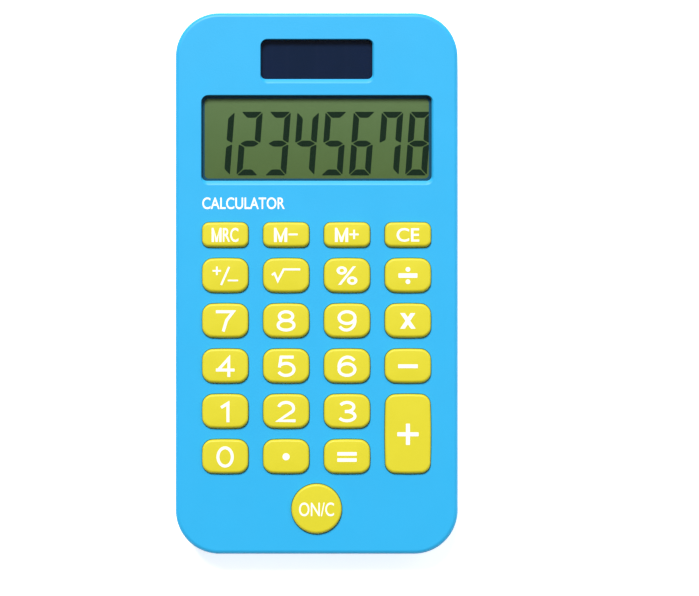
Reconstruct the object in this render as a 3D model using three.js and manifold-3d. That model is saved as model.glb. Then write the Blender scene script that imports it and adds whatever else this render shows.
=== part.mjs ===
// An eight-digit calculator with solar and button-cell power, as an assembly of separate pieces.
// Millimetres. X runs across the case, Y along it towards the display, and +Z comes out of the
// keys. The origin is on the desk, under the middle of the case.

import * as THREE from "three";
import { mergeVertices } from "three/addons/utils/BufferGeometryUtils.js";
import Module from "manifold-3d";

const wasm = await Module();
wasm.setup();

// ---------------------------------------------------------------- driving dimensions

// Case
const BODY_WIDTH = 60;
const BODY_LENGTH = 115;
const BODY_CORNER = 9.3;
const CASE_HEIGHT = 8.4; // rear face to front face
const REAR_SHELL_HEIGHT = 4.0; // rear face to the seam between the shells
const SEAM_GAP = 0.15;
const SIDE_WALL = 1.6;
const FRONT_WALL = 1.6;
const REAR_WALL = 1.4;
const FRONT_RIM = 1.0; // radius of the front shell's rim
const REAR_RIM = 1.4;
const LIP_THICKNESS = 0.7; // the rear shell's lip goes up inside the front shell
const LIP_HEIGHT = 1.1;
const LIP_GAP = 0.1;

// Keys
const KEY_WIDTH = 9.8;
const KEY_LENGTH = 7.4;
const MEMORY_KEY_LENGTH = 5.4;
const KEY_COLUMN_SPACE = 3.1; // between neighbouring keys
const KEY_ROW_SPACE = 2.2;
const KEY_CORNER = 1.9;
const KEY_BULGE = 0.2; // how far each side bows out between its corners
const MEMORY_KEY_CORNER = 1.3;
const MEMORY_KEY_BULGE = 0.08;
const POWER_KEY_DIAMETER = 10.7;
const KEY_RIM = 0.5;
const KEY_PROUD = 1.0; // above the front face
const KEY_GAP = 0.16; // between a key and its opening
const KEY_TRAVEL = 0.7;
const KEY_SKIN = 1.1; // thickness of a cap's hollow shell
const FLANGE_OUT = 0.5; // the flange that keeps a key in the case
const FLANGE_THICKNESS = 0.8;
const LOWEST_ROW_FROM_END = 20.75;
const POWER_KEY_FROM_END = 9.65;
const KEY_RIB = 0.8; // ribs between the columns, which hold the rubber mat down

// Rubber mat and circuit board
const MAT_SHEET = 0.5;
const DOME_HEIGHT = 1.55; // above the sheet
const DOME_BASE = 2.9; // radii
const DOME_TOP = 1.9;
const DOME_WALL = 0.4;
const DOME_ROOF = 0.9;
const PILL_RADIUS = 1.3;
const PLUNGER_RADIUS = 1.3;
const MAT_MARGIN = 1.0; // sheet past the outer keys' flanges
const BOARD_THICKNESS = 1.0;
const BOARD_MARGIN = 1.9; // board to the case's inner wall
const BOARD_TAB_WIDTH = 35;
const BOARD_FROM_DOOR = 0.8;
const BOARD_FROM_BOSS = 3.5;
const CHIP_PLACE = { x: -12, fromEnd: 14 };
const CHIP_RADIUS = 4.2;
const CHIP_HEIGHT = 0.95;
const CAPACITOR_PLACE = { x: 6, fromEnd: 10 };
const CAPACITOR_SIZE = [2, 1.25, -0.85];
const RESISTOR_PLACE = { x: 6, fromEnd: 16 };
const RESISTOR_SIZE = [1.6, 0.8, -0.5];
const POST_RADIUS = 1.0;
const POST_ROWS = 4;
const POST_IN = 2.5; // from the board's edges

// Display
const DISPLAY_FROM_END = 26.65; // middle of the window to the case's end
const DISPLAY_WIDTH = 48.85;
const DISPLAY_LENGTH = 18.1;
const WINDOW_CORNER = 1.1;
const WINDOW_BEVEL = 0.65;
const LENS_THICKNESS = 0.7;
const LENS_OVERLAP = 1.4; // lens past the window on each side
const POLARISER_THICKNESS = 0.2;
const POLARISER_OVERLAP = 0.9;
const GLASS_THICKNESS = 0.7;
const GLASS_OVERLAP_X = 2.1;
const GLASS_OVERLAP_Y = 1.45;
const GLASS_LEDGE = 2.4; // the front glass's contact ledge
const REFLECTOR_THICKNESS = 0.2;
const ZEBRA_WIDTH = 44;
const ZEBRA_THICKNESS = 1.8;
const FENCE_THICKNESS = 0.7; // the ribs round the display and the solar cell
const FENCE_DEPTH = 1.5;

// Solar cell
const SOLAR_FROM_END = 9.9;
const SOLAR_WIDTH = 23.7;
const SOLAR_LENGTH = 8.4;
const SOLAR_CORNER = 1.05;
const SOLAR_OVERLAP = 0.7;
const SOLAR_THICKNESS = 1.1;

// Button cell, its contacts and its door
const CELL_DIAMETER = 11.6;
const CELL_HEIGHT = 3.05;
const CELL_FROM_END = 10;
const CELL_EDGE = 0.3; // bevel round the cell's outer face
const CELL_RIM = 0.5; // the can's crimped rim
const CELL_GROOVE = 0.6; // the seal between the rim and the cap
const CELL_STEP = 0.25; // the cap stands this far above the rim
const WELL_GAP = 0.5; // cell to the wall of its well
const WELL_WALL = 0.8;
const SHELF_THICKNESS = 1.0; // the well's shelf, over the door
const SHELF_OVERLAP = 1.7; // shelf past the door on each side
const CONTACT_THICKNESS = 0.2;
const CONTACT_RISE = 0.15; // the cell's top to the top of its well
const CONTACT_STRIP_WIDTH = 3;
const CONTACT_REACH = 2.5; // the strip's end past the middle of the cell
const DIMPLE_TOP = 1.1; // radii
const DIMPLE_TIP = 0.5;
const CONTACT_TAB_RISE = 0.3; // the shelf to the foot of a contact's tab
const DOOR_WIDTH = 17;
const DOOR_LENGTH = 18.8;
const DOOR_CORNER = 1.5;
const DOOR_GAP = 0.15;
const DOOR_ABOVE_CELL = 7.4; // middle of the cell to the hinged edge of the door
const DOOR_SCREW_FROM_EDGE = 2.0;
const TONGUE_WIDTH = 3;
const TONGUE_LENGTH = 1.0;
const TONGUE_THICKNESS = 0.7;
const TONGUE_SPACING = 9;
const TONGUE_HEADROOM = 1.5; // room above a tongue for the door to tilt

// Fasteners and feet
const SCREW_IN_X = 7.5; // case screws, in from the sides and from the ends
const SCREW_IN_Y = 7.0;
const SCREW_HEAD_RADIUS = 1.85;
const SCREW_HEAD_HEIGHT = 1.3;
const SCREW_SHANK_RADIUS = 0.9;
const SCREW_BITE = 2.5; // how far a case screw reaches into the front shell
const HEAD_DEPTH = 1.55; // counterbore
const PILOT_SPARE = 0.5; // hole past a case screw's tip
const HEAD_SUNK = 0.15; // the door screw's head under the door's face
const FRONT_BOSS_RADIUS = 2.2;
const REAR_BOSS_RADIUS = 3.0;
const REAR_BOSS_RISE = 1.9; // above the rear shell's floor
const DOOR_SCREW_HEAD_RADIUS = 1.5;
const DOOR_SCREW_HEAD_HEIGHT = 0.8;
const DOOR_SCREW_SHANK_RADIUS = 0.8;
const DOOR_SCREW_LENGTH = 2.5; // under its head
const DOOR_SCREW_ROOM = 0.35; // round its shank, because it swings out with the door
const DOOR_BOSS_RADIUS = 1.9;
const DOOR_BOSS_ROOF = 0.7;
const FOOT_RADIUS = 3.2;
const FOOT_PROUD = 0.6;
const FOOT_SEAT = 0.45;
const FOOT_EDGE = 0.5; // rounding of a foot's lower edge
const FOOT_IN_X = 8.5;
const FOOT_IN_Y = 16.5;
const WIRE_RADIUS = 0.3;

// Clearances
const REST_GAP = 0.05; // between pieces that rest on each other
const SIDE_GAP = 0.2; // between a piece and the ribs or hole that place it
const THROUGH = 1; // how far a cutting shape runs past what it cuts

// ---------------------------------------------------------------- heights and places

const REAR_Z = FOOT_PROUD;
const FLOOR_Z = REAR_Z + REAR_WALL;
const SEAM_Z = REAR_Z + REAR_SHELL_HEIGHT;
const FACE_Z = REAR_Z + CASE_HEIGHT;
const CEILING_Z = FACE_Z - FRONT_WALL;

const COLUMN_PITCH = KEY_WIDTH + KEY_COLUMN_SPACE;
const ROW_PITCH = KEY_LENGTH + KEY_ROW_SPACE;
const INNER_WIDTH = BODY_WIDTH - 2 * SIDE_WALL;
const TOP_END = BODY_LENGTH / 2;
const LOW_END = -BODY_LENGTH / 2;

// The keys hang from the ceiling, the mat's domes hold them up, and the board is under the mat.
const FLANGE_TOP_Z = CEILING_Z - REST_GAP;
const FLANGE_LOW_Z = FLANGE_TOP_Z - FLANGE_THICKNESS;
const DOME_TOP_Z = FLANGE_LOW_Z - REST_GAP;
const SHEET_TOP_Z = DOME_TOP_Z - DOME_HEIGHT;
const SHEET_LOW_Z = SHEET_TOP_Z - MAT_SHEET;
const BOARD_TOP_Z = SHEET_LOW_Z - REST_GAP;
const BOARD_LOW_Z = BOARD_TOP_Z - BOARD_THICKNESS;

const DISPLAY_Y = TOP_END - DISPLAY_FROM_END;
const SOLAR_Y = TOP_END - SOLAR_FROM_END;
const LENS_LOW_Z = CEILING_Z + REST_GAP;
const POLARISER_LOW_Z = CEILING_Z - REST_GAP - POLARISER_THICKNESS;
const FRONT_GLASS_LOW_Z = POLARISER_LOW_Z - REST_GAP - GLASS_THICKNESS;
const REAR_GLASS_LOW_Z = FRONT_GLASS_LOW_Z - REST_GAP - GLASS_THICKNESS;
const REFLECTOR_LOW_Z = REAR_GLASS_LOW_Z - REST_GAP - REFLECTOR_THICKNESS;
const GLASS_WIDTH = DISPLAY_WIDTH + 2 * GLASS_OVERLAP_X;
const REAR_GLASS_LENGTH = DISPLAY_LENGTH + 2 * GLASS_OVERLAP_Y;
const LEDGE_Y = DISPLAY_Y - REAR_GLASS_LENGTH / 2; // where the rear glass ends and the ledge starts
const SOLAR_CELL_WIDTH = SOLAR_WIDTH + 2 * SOLAR_OVERLAP;
const SOLAR_CELL_LENGTH = SOLAR_LENGTH + 2 * SOLAR_OVERLAP;
const SOLAR_CELL_LOW_Z = CEILING_Z - REST_GAP - SOLAR_THICKNESS;

const CELL_Y = TOP_END - CELL_FROM_END;
const CELL_LOW_Z = FLOOR_Z + REST_GAP;
const CELL_TOP_Z = CELL_LOW_Z + CELL_HEIGHT;
const WELL_RADIUS = CELL_DIAMETER / 2 + WELL_GAP;
const WELL_TOP_Z = CELL_TOP_Z + CONTACT_RISE;
const SHELF_LOW_Z = FLOOR_Z + DOOR_GAP;
const SHELF_TOP_Z = SHELF_LOW_Z + SHELF_THICKNESS;
const DOOR_HINGE_Y = CELL_Y + DOOR_ABOVE_CELL;
const DOOR_Y = DOOR_HINGE_Y - DOOR_LENGTH / 2;
const DOOR_SCREW_Y = DOOR_HINGE_Y - DOOR_LENGTH + DOOR_SCREW_FROM_EDGE;
const DOOR_SCREW_SEAT_Z = REAR_Z + HEAD_SUNK + DOOR_SCREW_HEAD_HEIGHT;
const DOOR_SCREW_TIP_Z = DOOR_SCREW_SEAT_Z + DOOR_SCREW_LENGTH;
const CONTACT_Z = WELL_TOP_Z + REST_GAP;
const CONTACT_TAB_Z = SHELF_TOP_Z + CONTACT_TAB_RISE;

const BOARD_WIDTH = INNER_WIDTH - 2 * BOARD_MARGIN;
const BOARD_TOP_END = DOOR_HINGE_Y - DOOR_LENGTH - BOARD_FROM_DOOR;
const BOARD_SHOULDER_Y = LOW_END + SCREW_IN_Y + REAR_BOSS_RADIUS + BOARD_FROM_BOSS;
const BOARD_LOW_END = LOW_END + SIDE_WALL + BOARD_MARGIN;

const REAR_BOSS_TOP_Z = FLOOR_Z + REAR_BOSS_RISE;
const FRONT_BOSS_LOW_Z = REAR_BOSS_TOP_Z + REST_GAP;
const HEAD_SEAT_Z = REAR_Z + HEAD_DEPTH;

const SCREW_PLACES = cornerPlaces(SCREW_IN_X, SCREW_IN_Y);
const FOOT_PLACES = cornerPlaces(FOOT_IN_X, FOOT_IN_Y);
const KEYS = keyLayout();

// Four places, set in from the case's sides and from its ends.
function cornerPlaces(inX, inY) {
  const x = BODY_WIDTH / 2 - inX;
  const y = BODY_LENGTH / 2 - inY;
  return [
    { side: "upper_left", x: -x, y },
    { side: "upper_right", x, y },
    { side: "lower_left", x: -x, y: -y },
    { side: "lower_right", x, y: -y },
  ];
}

// Every key with its place, its outline's sizes and the places of the domes under it.
function keyLayout() {
  const keyRows = [
    ["key_0", "key_point", "key_equals"],
    ["key_1", "key_2", "key_3"],
    ["key_4", "key_5", "key_6", "key_minus"],
    ["key_7", "key_8", "key_9", "key_multiply"],
    ["key_sign", "key_root", "key_percent", "key_divide"],
  ];
  const memoryKeys = ["key_mrc", "key_m_minus", "key_m_plus", "key_ce"];
  const columnX = (column) => (column - 1.5) * COLUMN_PITCH;
  const rowY = (row) => LOW_END + LOWEST_ROW_FROM_END + row * ROW_PITCH;
  const normal = { width: KEY_WIDTH, corner: KEY_CORNER, bulge: KEY_BULGE };

  const keys = keyRows.flatMap((names, row) =>
    names.map((name, column) => ({
      ...normal,
      name,
      x: columnX(column),
      y: rowY(row),
      length: KEY_LENGTH,
      domes: [0],
    })),
  );
  keys.push({
    ...normal,
    name: "key_plus",
    x: columnX(3),
    y: (rowY(0) + rowY(1)) / 2,
    length: KEY_LENGTH + ROW_PITCH,
    domes: [-ROW_PITCH / 2, ROW_PITCH / 2],
  });
  memoryKeys.forEach((name, column) =>
    keys.push({
      name,
      x: columnX(column),
      y: rowY(keyRows.length - 1) + (KEY_LENGTH + MEMORY_KEY_LENGTH) / 2 + KEY_ROW_SPACE,
      width: KEY_WIDTH,
      length: MEMORY_KEY_LENGTH,
      corner: MEMORY_KEY_CORNER,
      bulge: MEMORY_KEY_BULGE,
      domes: [0],
    }),
  );
  keys.push({
    name: "key_on_clear",
    x: 0,
    y: LOW_END + POWER_KEY_FROM_END,
    width: POWER_KEY_DIAMETER,
    length: POWER_KEY_DIAMETER,
    round: true,
    domes: [0],
  });
  return keys;
}

// ---------------------------------------------------------------- outlines

// The points along a shape's curves, without the one that repeats the first.
function pointsOf(shape, steps) {
  return shape.getPoints(steps).slice(0, -1);
}

function circle(radius, steps = 16) {
  return pointsOf(new THREE.Shape().absarc(0, 0, radius, 0, 2 * Math.PI), steps / 2);
}

function rectangle(width, length) {
  const x = width / 2;
  const y = length / 2;
  const shape = new THREE.Shape().moveTo(x, -y).lineTo(x, y).lineTo(-x, y).lineTo(-x, -y);
  return shape.getPoints();
}

function roundedRectangle(width, length, radius, steps = 2) {
  const x = width / 2 - radius;
  const y = length / 2 - radius;
  const turn = Math.PI / 2;
  const shape = new THREE.Shape()
    .absarc(x, y, radius, 0, turn)
    .absarc(-x, y, radius, turn, 2 * turn)
    .absarc(-x, -y, radius, 2 * turn, 3 * turn)
    .absarc(x, -y, radius, 3 * turn, 4 * turn);
  return shape.getPoints(steps / 2);
}

// A rectangle whose sides bow out between its round corners.
function pillow(width, length, corner, bulge, steps = 2) {
  const x = width / 2 - bulge;
  const y = length / 2 - bulge;
  const outX = x + 2 * bulge;
  const outY = y + 2 * bulge;
  const shape = new THREE.Shape()
    .moveTo(x, corner - y)
    .quadraticCurveTo(outX, 0, x, y - corner)
    .quadraticCurveTo(x, y, x - corner, y)
    .quadraticCurveTo(0, outY, corner - x, y)
    .quadraticCurveTo(-x, y, -x, y - corner)
    .quadraticCurveTo(-outX, 0, -x, corner - y)
    .quadraticCurveTo(-x, -y, corner - x, -y)
    .quadraticCurveTo(0, -outY, x - corner, -y)
    .quadraticCurveTo(x, -y, x, corner - y);
  return pointsOf(shape, steps);
}

// A key's outline, grown by the same amount all round.
function keyOutline(key, grow = 0) {
  if (key.round) return circle(key.width / 2 + grow, 24);
  const width = key.width + 2 * grow;
  const length = key.length + 2 * grow;
  return pillow(width, length, key.corner + grow, key.bulge);
}

// ---------------------------------------------------------------- solids

// A closed three.js geometry as a solid that can be joined and cut.
function solidOf(geometry) {
  geometry.deleteAttribute("normal");
  geometry.deleteAttribute("uv");
  const merged = mergeVertices(geometry, 1e-4);
  const index = merged.index.array;
  const faces = [];
  for (let i = 0; i < index.length; i += 3) {
    const [a, b, c] = index.slice(i, i + 3);
    if (a !== b && b !== c && c !== a) faces.push(a, b, c);
  }
  const mesh = new wasm.Mesh({
    numProp: 3,
    vertProperties: merged.attributes.position.array,
    triVerts: new Uint32Array(faces),
  });
  return new wasm.Manifold(mesh);
}

// A straight-sided solid over an outline, between two heights.
function prism(points, low, high, x = 0, y = 0) {
  const options = { depth: high - low, bevelEnabled: false };
  const geometry = new THREE.ExtrudeGeometry(new THREE.Shape(points), options);
  return solidOf(geometry.translate(x, y, low));
}

// The same with both its rims rounded inwards.
function roundedPrism(points, low, high, radius, steps = 3) {
  const geometry = new THREE.ExtrudeGeometry(new THREE.Shape(points), {
    depth: high - low - 2 * radius,
    bevelThickness: radius,
    bevelSize: radius,
    bevelOffset: -radius,
    bevelSegments: steps,
  });
  return solidOf(geometry.translate(0, 0, low + radius));
}

// A cutting shape that is wider by the bevel at the given height than at the bevel's foot.
function bevelCutter(points, height, bevel, x, y) {
  const geometry = new THREE.ExtrudeGeometry(new THREE.Shape(points), {
    depth: THROUGH,
    bevelThickness: bevel,
    bevelSize: bevel,
    bevelSegments: 1,
  });
  return solidOf(geometry.translate(x, y, height));
}

function box(width, length, low, high, x = 0, y = 0) {
  const geometry = new THREE.BoxGeometry(width, length, high - low);
  return solidOf(geometry.translate(x, y, (low + high) / 2));
}

function cylinder(radius, low, high, x = 0, y = 0, steps = 16) {
  return prism(circle(radius, steps), low, high, x, y);
}

// A solid of revolution about Z from [radius, height] pairs.
function lathe(pairs, steps = 16) {
  const profile = pairs.map(([radius, height]) => new THREE.Vector2(radius, height));
  return solidOf(new THREE.LatheGeometry(profile, steps).rotateX(Math.PI / 2));
}

// A round wire along a smooth curve through the given points.
function wire(points) {
  const path = new THREE.CatmullRomCurve3(points.map((p) => new THREE.Vector3(...p)));
  const section = new THREE.Shape(circle(WIRE_RADIUS, 6));
  const options = { steps: 2 * points.length, extrudePath: path, bevelEnabled: false };
  return solidOf(new THREE.ExtrudeGeometry(section, options));
}

const mirrored = (solid) => solid.mirror([1, 0, 0]);
const join = (solids) => solids.reduce((sum, solid) => sum.add(solid));
const cut = (solid, cutters) => cutters.reduce((rest, cutter) => rest.subtract(cutter), solid);

// ---------------------------------------------------------------- the case

// A rectangular fence under the front face that places a flat piece of the given size.
function fence(width, length, x, y) {
  const inside = [width + 2 * SIDE_GAP, length + 2 * SIDE_GAP];
  const outside = inside.map((size) => size + 2 * FENCE_THICKNESS);
  const low = CEILING_Z - FENCE_DEPTH;
  const wall = box(...outside, low, CEILING_Z + FRONT_WALL / 2, x, y);
  return wall.subtract(box(...inside, low - THROUGH, CEILING_Z, x, y));
}

// The outlines of the case and of its inside, grown by the same amount all round.
function caseOutline(grow = 0) {
  return roundedRectangle(BODY_WIDTH + 2 * grow, BODY_LENGTH + 2 * grow, BODY_CORNER + grow, 8);
}

function innerOutline(grow = 0) {
  return caseOutline(grow - SIDE_WALL);
}

// Two shells meet at the seam: each is the whole rounded block, cut off there.
function slab(low, high) {
  return box(2 * BODY_WIDTH, 2 * BODY_LENGTH, low, high);
}

function frontCase() {
  const low = SEAM_Z + SEAM_GAP / 2;
  const below = low - 2 * FRONT_RIM;
  const intoCeiling = CEILING_Z + FRONT_WALL / 2;
  const shell = cut(roundedPrism(caseOutline(), below, FACE_Z, FRONT_RIM), [
    slab(below - THROUGH, low),
    prism(innerOutline(), below, CEILING_Z),
    prism(innerOutline(LIP_THICKNESS + LIP_GAP), below, SEAM_Z + LIP_HEIGHT + LIP_GAP),
  ]);
  const bosses = SCREW_PLACES.map(({ x, y }) =>
    cylinder(FRONT_BOSS_RADIUS, FRONT_BOSS_LOW_Z, intoCeiling, x, y, 12),
  );
  const pilots = SCREW_PLACES.map(({ x, y }) => {
    const top = FRONT_BOSS_LOW_Z + SCREW_BITE + PILOT_SPARE;
    return cylinder(SCREW_SHANK_RADIUS + REST_GAP, FRONT_BOSS_LOW_Z - THROUGH, top, x, y, 12);
  });
  const fences = [
    fence(GLASS_WIDTH, REAR_GLASS_LENGTH + GLASS_LEDGE, 0, DISPLAY_Y - GLASS_LEDGE / 2),
    fence(SOLAR_CELL_WIDTH, SOLAR_CELL_LENGTH, 0, SOLAR_Y),
  ];
  const openings = KEYS.map((key) =>
    prism(keyOutline(key, KEY_GAP), CEILING_Z - THROUGH, FACE_Z + THROUGH, key.x, key.y),
  );
  return cut(join([shell, ...bosses, ...fences, ...keyRibs(intoCeiling)]), [
    ...pilots,
    ...openings,
    ...windowCutters(DISPLAY_WIDTH, DISPLAY_LENGTH, WINDOW_CORNER, LENS_OVERLAP, DISPLAY_Y),
    ...windowCutters(SOLAR_WIDTH, SOLAR_LENGTH, SOLAR_CORNER, SOLAR_OVERLAP, SOLAR_Y),
  ]);
}

// The room that a key's flange needs to go down between the ribs.
function flangeRoom(key) {
  const width = key.width + 2 * (FLANGE_OUT + SIDE_GAP);
  const length = key.length + 2 * (FLANGE_OUT + SIDE_GAP);
  return box(width, length, FLANGE_LOW_Z - KEY_TRAVEL - SIDE_GAP, CEILING_Z, key.x, key.y);
}

// A window's opening with its bevelled rim, and the pocket for its lens under the face.
function windowCutters(width, length, corner, overlap, y) {
  const opening = roundedRectangle(width, length, corner, 4);
  const pocketWidth = width + 2 * (overlap + REST_GAP);
  const pocketLength = length + 2 * (overlap + REST_GAP);
  return [
    prism(opening, CEILING_Z - THROUGH, FACE_Z + THROUGH, 0, y),
    bevelCutter(opening, FACE_Z, WINDOW_BEVEL, 0, y),
    box(pocketWidth, pocketLength, CEILING_Z - THROUGH / 2, LENS_LOW_Z + LENS_THICKNESS + REST_GAP, 0, y),
  ];
}

// Ribs between the key columns, from the front face down to just above the mat.
function keyRibs(top) {
  const grid = KEYS.filter((key) => !key.round);
  const upper = Math.max(...grid.map((key) => key.y + key.length / 2));
  const lower = Math.min(...grid.map((key) => key.y - key.length / 2));
  const low = SHEET_TOP_Z + SIDE_GAP / 2;
  const rooms = KEYS.map(flangeRoom);
  return [-1, 0, 1].map((column) =>
    cut(box(KEY_RIB, upper - lower, low, top, column * COLUMN_PITCH, (upper + lower) / 2), rooms),
  );
}

function rearCase() {
  const top = SEAM_Z - SEAM_GAP / 2;
  const above = top + 2 * REAR_RIM;
  const block = roundedPrism(caseOutline(), REAR_Z, above, REAR_RIM).subtract(slab(top, above + THROUGH));
  const lip = prism(innerOutline(LIP_THICKNESS), top - THROUGH, SEAM_Z + LIP_HEIGHT);
  const shell = cut(join([block, lip]), [prism(innerOutline(), FLOOR_Z, above + THROUGH)]);
  const bosses = SCREW_PLACES.map(({ x, y }) =>
    cylinder(REAR_BOSS_RADIUS, REAR_Z + REAR_WALL / 2, REAR_BOSS_TOP_Z, x, y),
  );
  const screwHoles = SCREW_PLACES.flatMap(({ x, y }) => [
    cylinder(SCREW_HEAD_RADIUS + SIDE_GAP, REAR_Z - THROUGH, HEAD_SEAT_Z, x, y),
    cylinder(SCREW_SHANK_RADIUS + SIDE_GAP, REAR_Z, REAR_BOSS_TOP_Z + THROUGH, x, y, 12),
  ]);
  const footSeats = FOOT_PLACES.map(({ x, y }) =>
    cylinder(FOOT_RADIUS + REST_GAP, REAR_Z - THROUGH, REAR_Z + FOOT_SEAT + REST_GAP, x, y, 20),
  );
  const displayRoom = box(
    GLASS_WIDTH + 2 * SIDE_GAP,
    REAR_GLASS_LENGTH + 2 * SIDE_GAP,
    REFLECTOR_LOW_Z - REST_GAP,
    CEILING_Z,
    0,
    DISPLAY_Y,
  );
  return cut(join([shell, ...bosses, ...boardPosts(), ...batteryWell()]), [
    displayRoom,
    ...screwHoles,
    ...footSeats,
    ...batteryCutters(),
  ]);
}

// Posts on the rear shell's floor that hold the board up against the keys.
function boardPosts() {
  const x = BOARD_WIDTH / 2 - POST_IN;
  const first = BOARD_SHOULDER_Y + POST_IN;
  const step = (BOARD_TOP_END - POST_IN - first) / (POST_ROWS - 1);
  const post = cylinder(POST_RADIUS, FLOOR_Z - REAR_WALL / 2, BOARD_LOW_Z - REST_GAP, 0, 0, 8);
  const posts = [];
  for (let row = 0; row < POST_ROWS; row++)
    for (const side of [-x, x]) posts.push(post.translate([side, first + row * step, 0]));
  return posts;
}

// The shelf over the door, the round wall that holds the cell and the door screw's boss.
function batteryWell() {
  const width = DOOR_WIDTH + 2 * SHELF_OVERLAP;
  const length = DOOR_LENGTH + 2 * SHELF_OVERLAP;
  return [
    prism(roundedRectangle(width, length, DOOR_CORNER, 4), FLOOR_Z - REAR_WALL / 2, SHELF_TOP_Z, 0, DOOR_Y),
    cylinder(WELL_RADIUS + WELL_WALL, SHELF_LOW_Z, WELL_TOP_Z, 0, CELL_Y, 28),
    cylinder(DOOR_BOSS_RADIUS, SHELF_LOW_Z, DOOR_SCREW_TIP_Z + DOOR_BOSS_ROOF, 0, DOOR_SCREW_Y),
  ];
}

// What is cut away for the door, its tongues, the cell and the door's screw.
function batteryCutters() {
  const width = DOOR_WIDTH + 2 * DOOR_GAP;
  const length = DOOR_LENGTH + 2 * DOOR_GAP;
  const opening = roundedRectangle(width, length, DOOR_CORNER + DOOR_GAP, 4);
  const slotLow = FLOOR_Z - TONGUE_THICKNESS - DOOR_GAP;
  const slotLength = 2 * (TONGUE_LENGTH + SIDE_GAP);
  const slots = [-TONGUE_SPACING / 2, TONGUE_SPACING / 2].map((x) =>
    box(TONGUE_WIDTH + 2 * SIDE_GAP, slotLength, slotLow, FLOOR_Z + TONGUE_HEADROOM, x, DOOR_HINGE_Y),
  );
  const screwRoom = DOOR_SCREW_SHANK_RADIUS + DOOR_SCREW_ROOM;
  return [
    prism(opening, REAR_Z - THROUGH, SHELF_LOW_Z, 0, DOOR_Y),
    ...slots,
    cylinder(WELL_RADIUS, REAR_Z, WELL_TOP_Z + THROUGH, 0, CELL_Y, 28),
    cylinder(screwRoom, REAR_Z, DOOR_SCREW_TIP_Z + SIDE_GAP, 0, DOOR_SCREW_Y, 12),
  ];
}

function batteryDoor() {
  const plate = prism(roundedRectangle(DOOR_WIDTH, DOOR_LENGTH, DOOR_CORNER, 4), REAR_Z, FLOOR_Z, 0, DOOR_Y);
  const tongues = [-TONGUE_SPACING / 2, TONGUE_SPACING / 2].map((x) =>
    box(TONGUE_WIDTH, 2 * TONGUE_LENGTH, FLOOR_Z - TONGUE_THICKNESS, FLOOR_Z, x, DOOR_HINGE_Y),
  );
  return cut(join([plate, ...tongues]), [
    cylinder(DOOR_SCREW_HEAD_RADIUS + SIDE_GAP, REAR_Z - THROUGH, DOOR_SCREW_SEAT_Z, 0, DOOR_SCREW_Y),
    cylinder(DOOR_SCREW_SHANK_RADIUS + REST_GAP, REAR_Z, FLOOR_Z + THROUGH, 0, DOOR_SCREW_Y, 12),
  ]);
}

// A pan-head screw, head down, with its head's seat at height 0 and a cross recess in the head.
function screw(headRadius, headHeight, shankRadius, length) {
  const profile = [
    [0, -headHeight],
    [headRadius * 0.7, -headHeight],
    [headRadius, -headHeight * 0.6],
    [headRadius, -REST_GAP],
    [shankRadius, -REST_GAP],
    [shankRadius, length - shankRadius],
    [0, length],
  ];
  const slot = headRadius * 1.1;
  const blade = headRadius * 0.24;
  const depth = headHeight * 0.5;
  return cut(lathe(profile, 12), [
    box(slot, blade, -headHeight - THROUGH, -headHeight + depth),
    box(blade, slot, -headHeight - THROUGH, -headHeight + depth),
  ]);
}

function foot() {
  const top = FOOT_PROUD + FOOT_SEAT;
  return lathe(
    [
      [0, 0],
      [FOOT_RADIUS - FOOT_EDGE, 0],
      [FOOT_RADIUS - FOOT_EDGE * 0.3, FOOT_EDGE * 0.4],
      [FOOT_RADIUS, FOOT_EDGE],
      [FOOT_RADIUS, top],
      [0, top],
    ],
    20,
  );
}

// ---------------------------------------------------------------- keys, mat and board

// A key with its origin at the front face: a hollow cap, the flange that keeps it in the case
// and the plunger that stands on the mat's dome.
function keyCap(key) {
  const flangeLow = FLANGE_LOW_Z - FACE_Z;
  const flangeTop = FLANGE_TOP_Z - FACE_Z;
  const hollowTop = KEY_PROUD - KEY_SKIN;
  const hollow = key.round
    ? circle(key.width / 2 - KEY_SKIN, 12)
    : roundedRectangle(key.width - 2 * KEY_SKIN, key.length - 2 * KEY_SKIN, KEY_SKIN / 2);
  const flange = rectangle(key.width + 2 * FLANGE_OUT, key.length + 2 * FLANGE_OUT);
  const below = flangeLow - 2 * KEY_RIM;
  const cap = roundedPrism(keyOutline(key), below, KEY_PROUD, KEY_RIM, 2);
  const trimmed = cap.subtract(slab(below - THROUGH, flangeLow));
  const shell = join([trimmed, prism(flange, flangeLow, flangeTop)]);
  const plungerTop = hollowTop + KEY_SKIN / 2;
  const plungers = key.domes.map((y) => cylinder(PLUNGER_RADIUS, flangeLow, plungerTop, 0, y, 8));
  return join([cut(shell, [prism(hollow, flangeLow - THROUGH, hollowTop)]), ...plungers]);
}

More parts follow.
